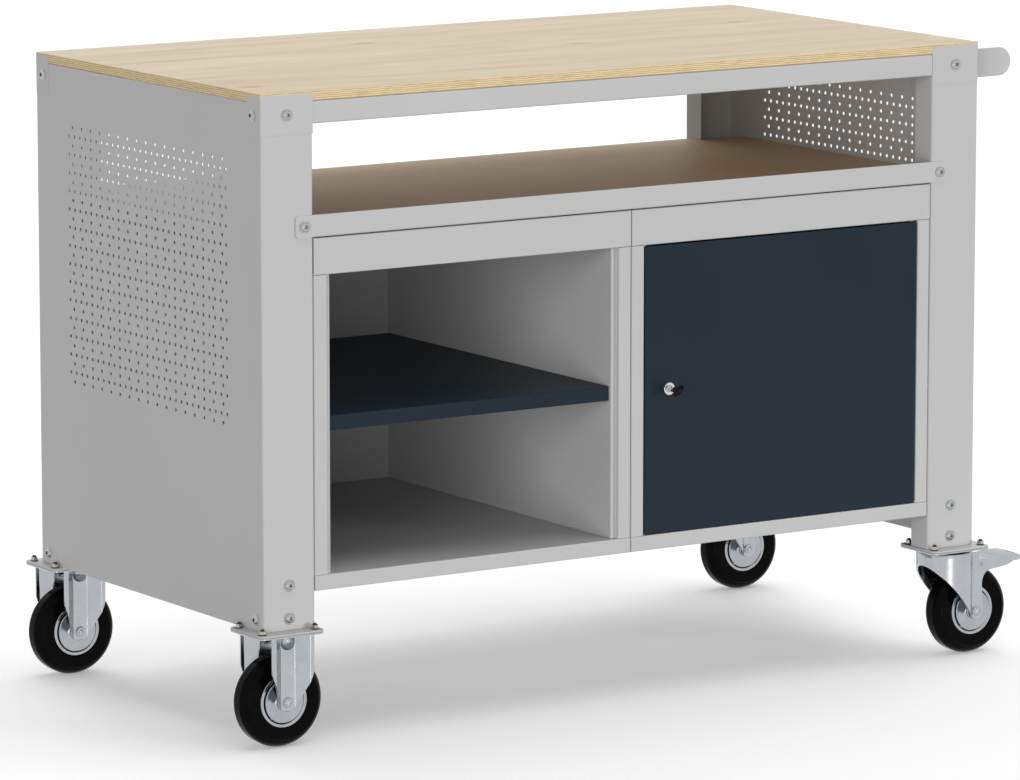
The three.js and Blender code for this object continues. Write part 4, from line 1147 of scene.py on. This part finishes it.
combine(pocket, below, "INTERSECT")
combine(leg, pocket, "UNION", "MANIFOLD")
rear_leg = mirror(leg, "rear_leg", 1, castor_y)
fixed_plate = rounded_plate("fixed_fork", (fork_low.x, fork_low.y, plate_bottom), (fork_high.x, fork_high.y, plate_top))
combine(fixed_plate, leg, "UNION", "MANIFOLD")
combine(fixed_plate, rear_leg, "UNION", "MANIFOLD")
rear_fixed = mirror(fixed_plate, "rear_left_fork_pressing", 1, middle_y)
fixed_plate.name = fixed_plate.data.name = "front_left_fork_pressing"
dress(fixed_plate, "frame", "zinc", fork_zinc, "front_left_fork")
dress(rear_fixed, "frame", "zinc", fork_zinc, "rear_left_fork")

# %% [markdown]
# ## Swivel castor forks
# The right castors steer. Under the top plate sits a round head, a turned cap, and from it two legs run
# down behind the swivel axis to the axle: one strip, round the head and straight along both sides of the
# wheel, cut to a side outline with a slanting front edge, a waist and an ear for the brake.

# %% Swivel plates and heads
swivel_low, swivel_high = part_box("front_right_swivel_plate")
swivel_x, swivel_y = (swivel_low.x + swivel_high.x) / 2, (swivel_low.y + swivel_high.y) / 2
rear_pitch = (0, 2 * (middle_y - swivel_y), 0)
swivel_axis = (swivel_x, swivel_y, 0)
PLATE_UNDER = swivel_high.z / MM - 2.5
swivel_plate = rounded_plate("front_right_top_plate", (swivel_low.x, swivel_low.y, PLATE_UNDER * MM),
                             (swivel_high.x, swivel_high.y, swivel_high.z))
kingpin = turn("kingpin", [(0, PLATE_UNDER + 1), (10, PLATE_UNDER + 1), (10, PLATE_UNDER - 5.6), (16, PLATE_UNDER - 5.6),
                           (16, PLATE_UNDER - 8.6), (14, PLATE_UNDER - 9.6), (0, PLATE_UNDER - 9.6)], swivel_axis, 2)
combine(swivel_plate, kingpin, "UNION")
CROWN_TOP = PLATE_UNDER - 0.4
crown = turn("front_right_swivel_head", [
    (10.4, CROWN_TOP), (30.5, CROWN_TOP), (31.6, CROWN_TOP - 0.9), (33.6, CROWN_TOP - 1.2), (36.6, CROWN_TOP - 1.8),
    (38.8, CROWN_TOP - 3.4), (40.0, CROWN_TOP - 6.4), (40.0, CROWN_TOP - 10.0), (37.6, CROWN_TOP - 10.0),
    (37.2, CROWN_TOP - 6.6), (35.0, CROWN_TOP - 4.8), (31.0, CROWN_TOP - 4.8), (10.4, CROWN_TOP - 4.8),
], swivel_axis, 2, 64)

# %% Swivel legs
AXLE_X, AXLE_Z = 37, wheel_middle.z / MM
EYE = 12
EAR_END, EAR_LOW, EAR_TOP = 60, 119, 136
STRIP_RADIUS = 39.7
STRIP_HALF = 27
meet = math.sqrt(STRIP_RADIUS ** 2 - STRIP_HALF ** 2)
turn_back = math.degrees(math.atan2(STRIP_HALF, meet))
round_head = arc((0, 0), STRIP_RADIUS, 360 - turn_back, turn_back, 36)
strip_plan = [(EAR_END + 2, -STRIP_HALF), *round_head, (EAR_END + 2, STRIP_HALF)]
LEG_LOW = AXLE_Z - EYE - 1
legs = draw_line("swivel_strip", [(swivel_x + x * MM, swivel_y + y * MM, LEG_LOW * MM) for x, y in strip_plan])
bpy.ops.mesh.select_all(action="SELECT")
bpy.ops.mesh.extrude_region_move(TRANSFORM_OT_translate={"value": (0, 0, (CROWN_TOP - 5 - LEG_LOW) * MM)})
mesh = bmesh.from_edit_mesh(legs.data)
mesh.normal_update()
straight = min(mesh.faces, key=lambda face: face.calc_center_median().y)
if straight.normal.y > 0:
    bpy.ops.mesh.select_all(action="SELECT")
    bpy.ops.mesh.flip_normals()
pick(legs, "EDGE", lambda edge: along(edge, 2) and len(edge.link_faces) == 2
     and abs(edge.verts[0].co.x - swivel_x - meet * MM) < 0.1 * MM)
bpy.ops.mesh.bevel(offset=2.5 * MM, segments=5, affect="EDGES")
apply(legs, "SOLIDIFY", thickness=FORK_SHEET, offset=-1, use_even_offset=True)
waist = [(46 + 14 * (1 - math.cos(math.radians(a))), 100 + 19 * math.sin(math.radians(a))) for a in range(0, 91, 15)]
side_outline = [(-STRIP_RADIUS - 2, CROWN_TOP), (-STRIP_RADIUS - 2, 133.5), (-38, 131.5)]
side_outline += arc((AXLE_X, AXLE_Z), EYE, 205, 355, 12) + waist
side_outline += [(EAR_END, EAR_TOP - 3), (EAR_END - 3, EAR_TOP), (41, EAR_TOP), (41, CROWN_TOP)]
legs_shape = prism("legs_shape", [(swivel_x + x * MM, swivel_y - 50 * MM, z * MM) for x, z in side_outline],
                   (0, 100 * MM, 0))
combine(legs, legs_shape, "INTERSECT")
soften(legs, 0.5 * MM, angle=50)
legs.name = legs.data.name = "front_right_swivel_legs"

# %% [markdown]
# ## Brakes
# A pedal behind each swivel fork locks the wheel. It is a pressed hood on a pin between the fork's ears:
# a flat start, an arched tread that droops to a round end, and a cheek on each side. Its side outline is
# run across, trimmed by its plan and its section, and hollowed from below with the same shapes drawn smaller.

# %% Brake pedal
PEDAL_HALF, PEDAL_SHEET = 24.2, 2.5
PEDAL_START, PEDAL_END, CHEEK_LOW = 33, 130, 119
CREST, ARCH = 141.4, 6
PEDAL_TOP = [(70, 133.4), (75, 135.2), (80, 138.6), (86, 140.8), (92, 141.4), (99, 140.8), (108, 138.0), (118, 133.4)]
PEDAL_LOW = [(104, 127.4), (99, 125.2), (92.5, 122.6), (80, 120.8), (62, CHEEK_LOW)]


def pedal_point(x, y, z):
    return (swivel_x + x * MM, swivel_y + y * MM, z * MM)


def pedal_body(name, side, half, crest):
    """A side outline run across, trimmed to a round end in plan and to an arched top in section."""
    body = prism(name, [pedal_point(x, -40, z) for x, z in side], (0, 80 * MM, 0))
    end = PEDAL_END - PEDAL_HALF
    plan = [(PEDAL_START - 5, -half), *arc((end, 0), half, -90, 90, 24), (PEDAL_START - 5, half)]
    combine(body, prism("plan", [pedal_point(x, y, 90) for x, y in plan], (0, 0, 80 * MM)), "INTERSECT")
    arch = [(half * y / 8, crest - ARCH * (y / 8) ** 2) for y in range(-8, 9)]
    section = [(-half - 1, 90), (-half - 1, arch[0][1]), *arch, (half + 1, arch[-1][1]), (half + 1, 90)]
    combine(body, prism("arch", [pedal_point(PEDAL_START - 9, y, z) for y, z in section], (120 * MM, 0, 0)), "INTERSECT")
    return body


outside = [(PEDAL_START, CHEEK_LOW), (PEDAL_START, PEDAL_TOP[0][1]), *PEDAL_TOP, (PEDAL_END, 129.4), (PEDAL_END, 127.6), *PEDAL_LOW]
channel = pedal_body("channel", outside, PEDAL_HALF, CREST)
inside_top = [(x, z - PEDAL_SHEET) for x, z in PEDAL_TOP]
inside = [(PEDAL_START - 2, 100), (PEDAL_START - 2, inside_top[0][1]), *inside_top, (PEDAL_END - 1, 127.5), (PEDAL_END - 1, 100)]
combine(channel, pedal_body("hollow", inside, PEDAL_HALF - PEDAL_SHEET, CREST - PEDAL_SHEET))
pin = turn("brake_pin", both_halves([(0, 28.4), (2.4, 28.4), (3.0, 27.8), (3.0, 10)]),
           pedal_point(47, 0, 128), 1, 20)
combine(channel, pin, "UNION")
soften(channel, 0.4 * MM, angle=50)
channel.name = channel.data.name = "front_right_pedal"

# %% Both swivel castors
for corner, move in (("front_right", None), ("rear_right", rear_pitch)):
    pieces = [swivel_plate, crown, legs, channel]
    if move:
        pieces = [copy(piece, piece.name.replace("front", "rear"), move) for piece in pieces]
    plate, head, strip, pedal = pieces
    dress(plate, "frame", "zinc", fork_zinc, corner + "_swivel_plate")
    dress(head, corner + "_swivel", "zinc", fork_zinc)
    dress(strip, corner + "_swivel", "zinc", fork_zinc, corner + "_fork")
    dress(pedal, corner + "_brake", "zinc", fork_zinc, corner + "_brake_pedal")

# %% [markdown]
# ## Pins and cam
# The hinge pins and the lock's cam are small plain parts whose CAD shape is already right. They could be
# drawn again, but nothing would be gained, so they stay. The pins are painted with the door they are
# welded to, and the cam is zinc plated.

# %% Carried-over nodes
for name, finish in (("door_top_pin", dark_coat), ("door_bottom_pin", dark_coat), ("lock_cam", zinc)):
    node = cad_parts[name]
    for slot in node.material_slots:
        slot.material = finish
    print(name, "keeps its CAD shape")
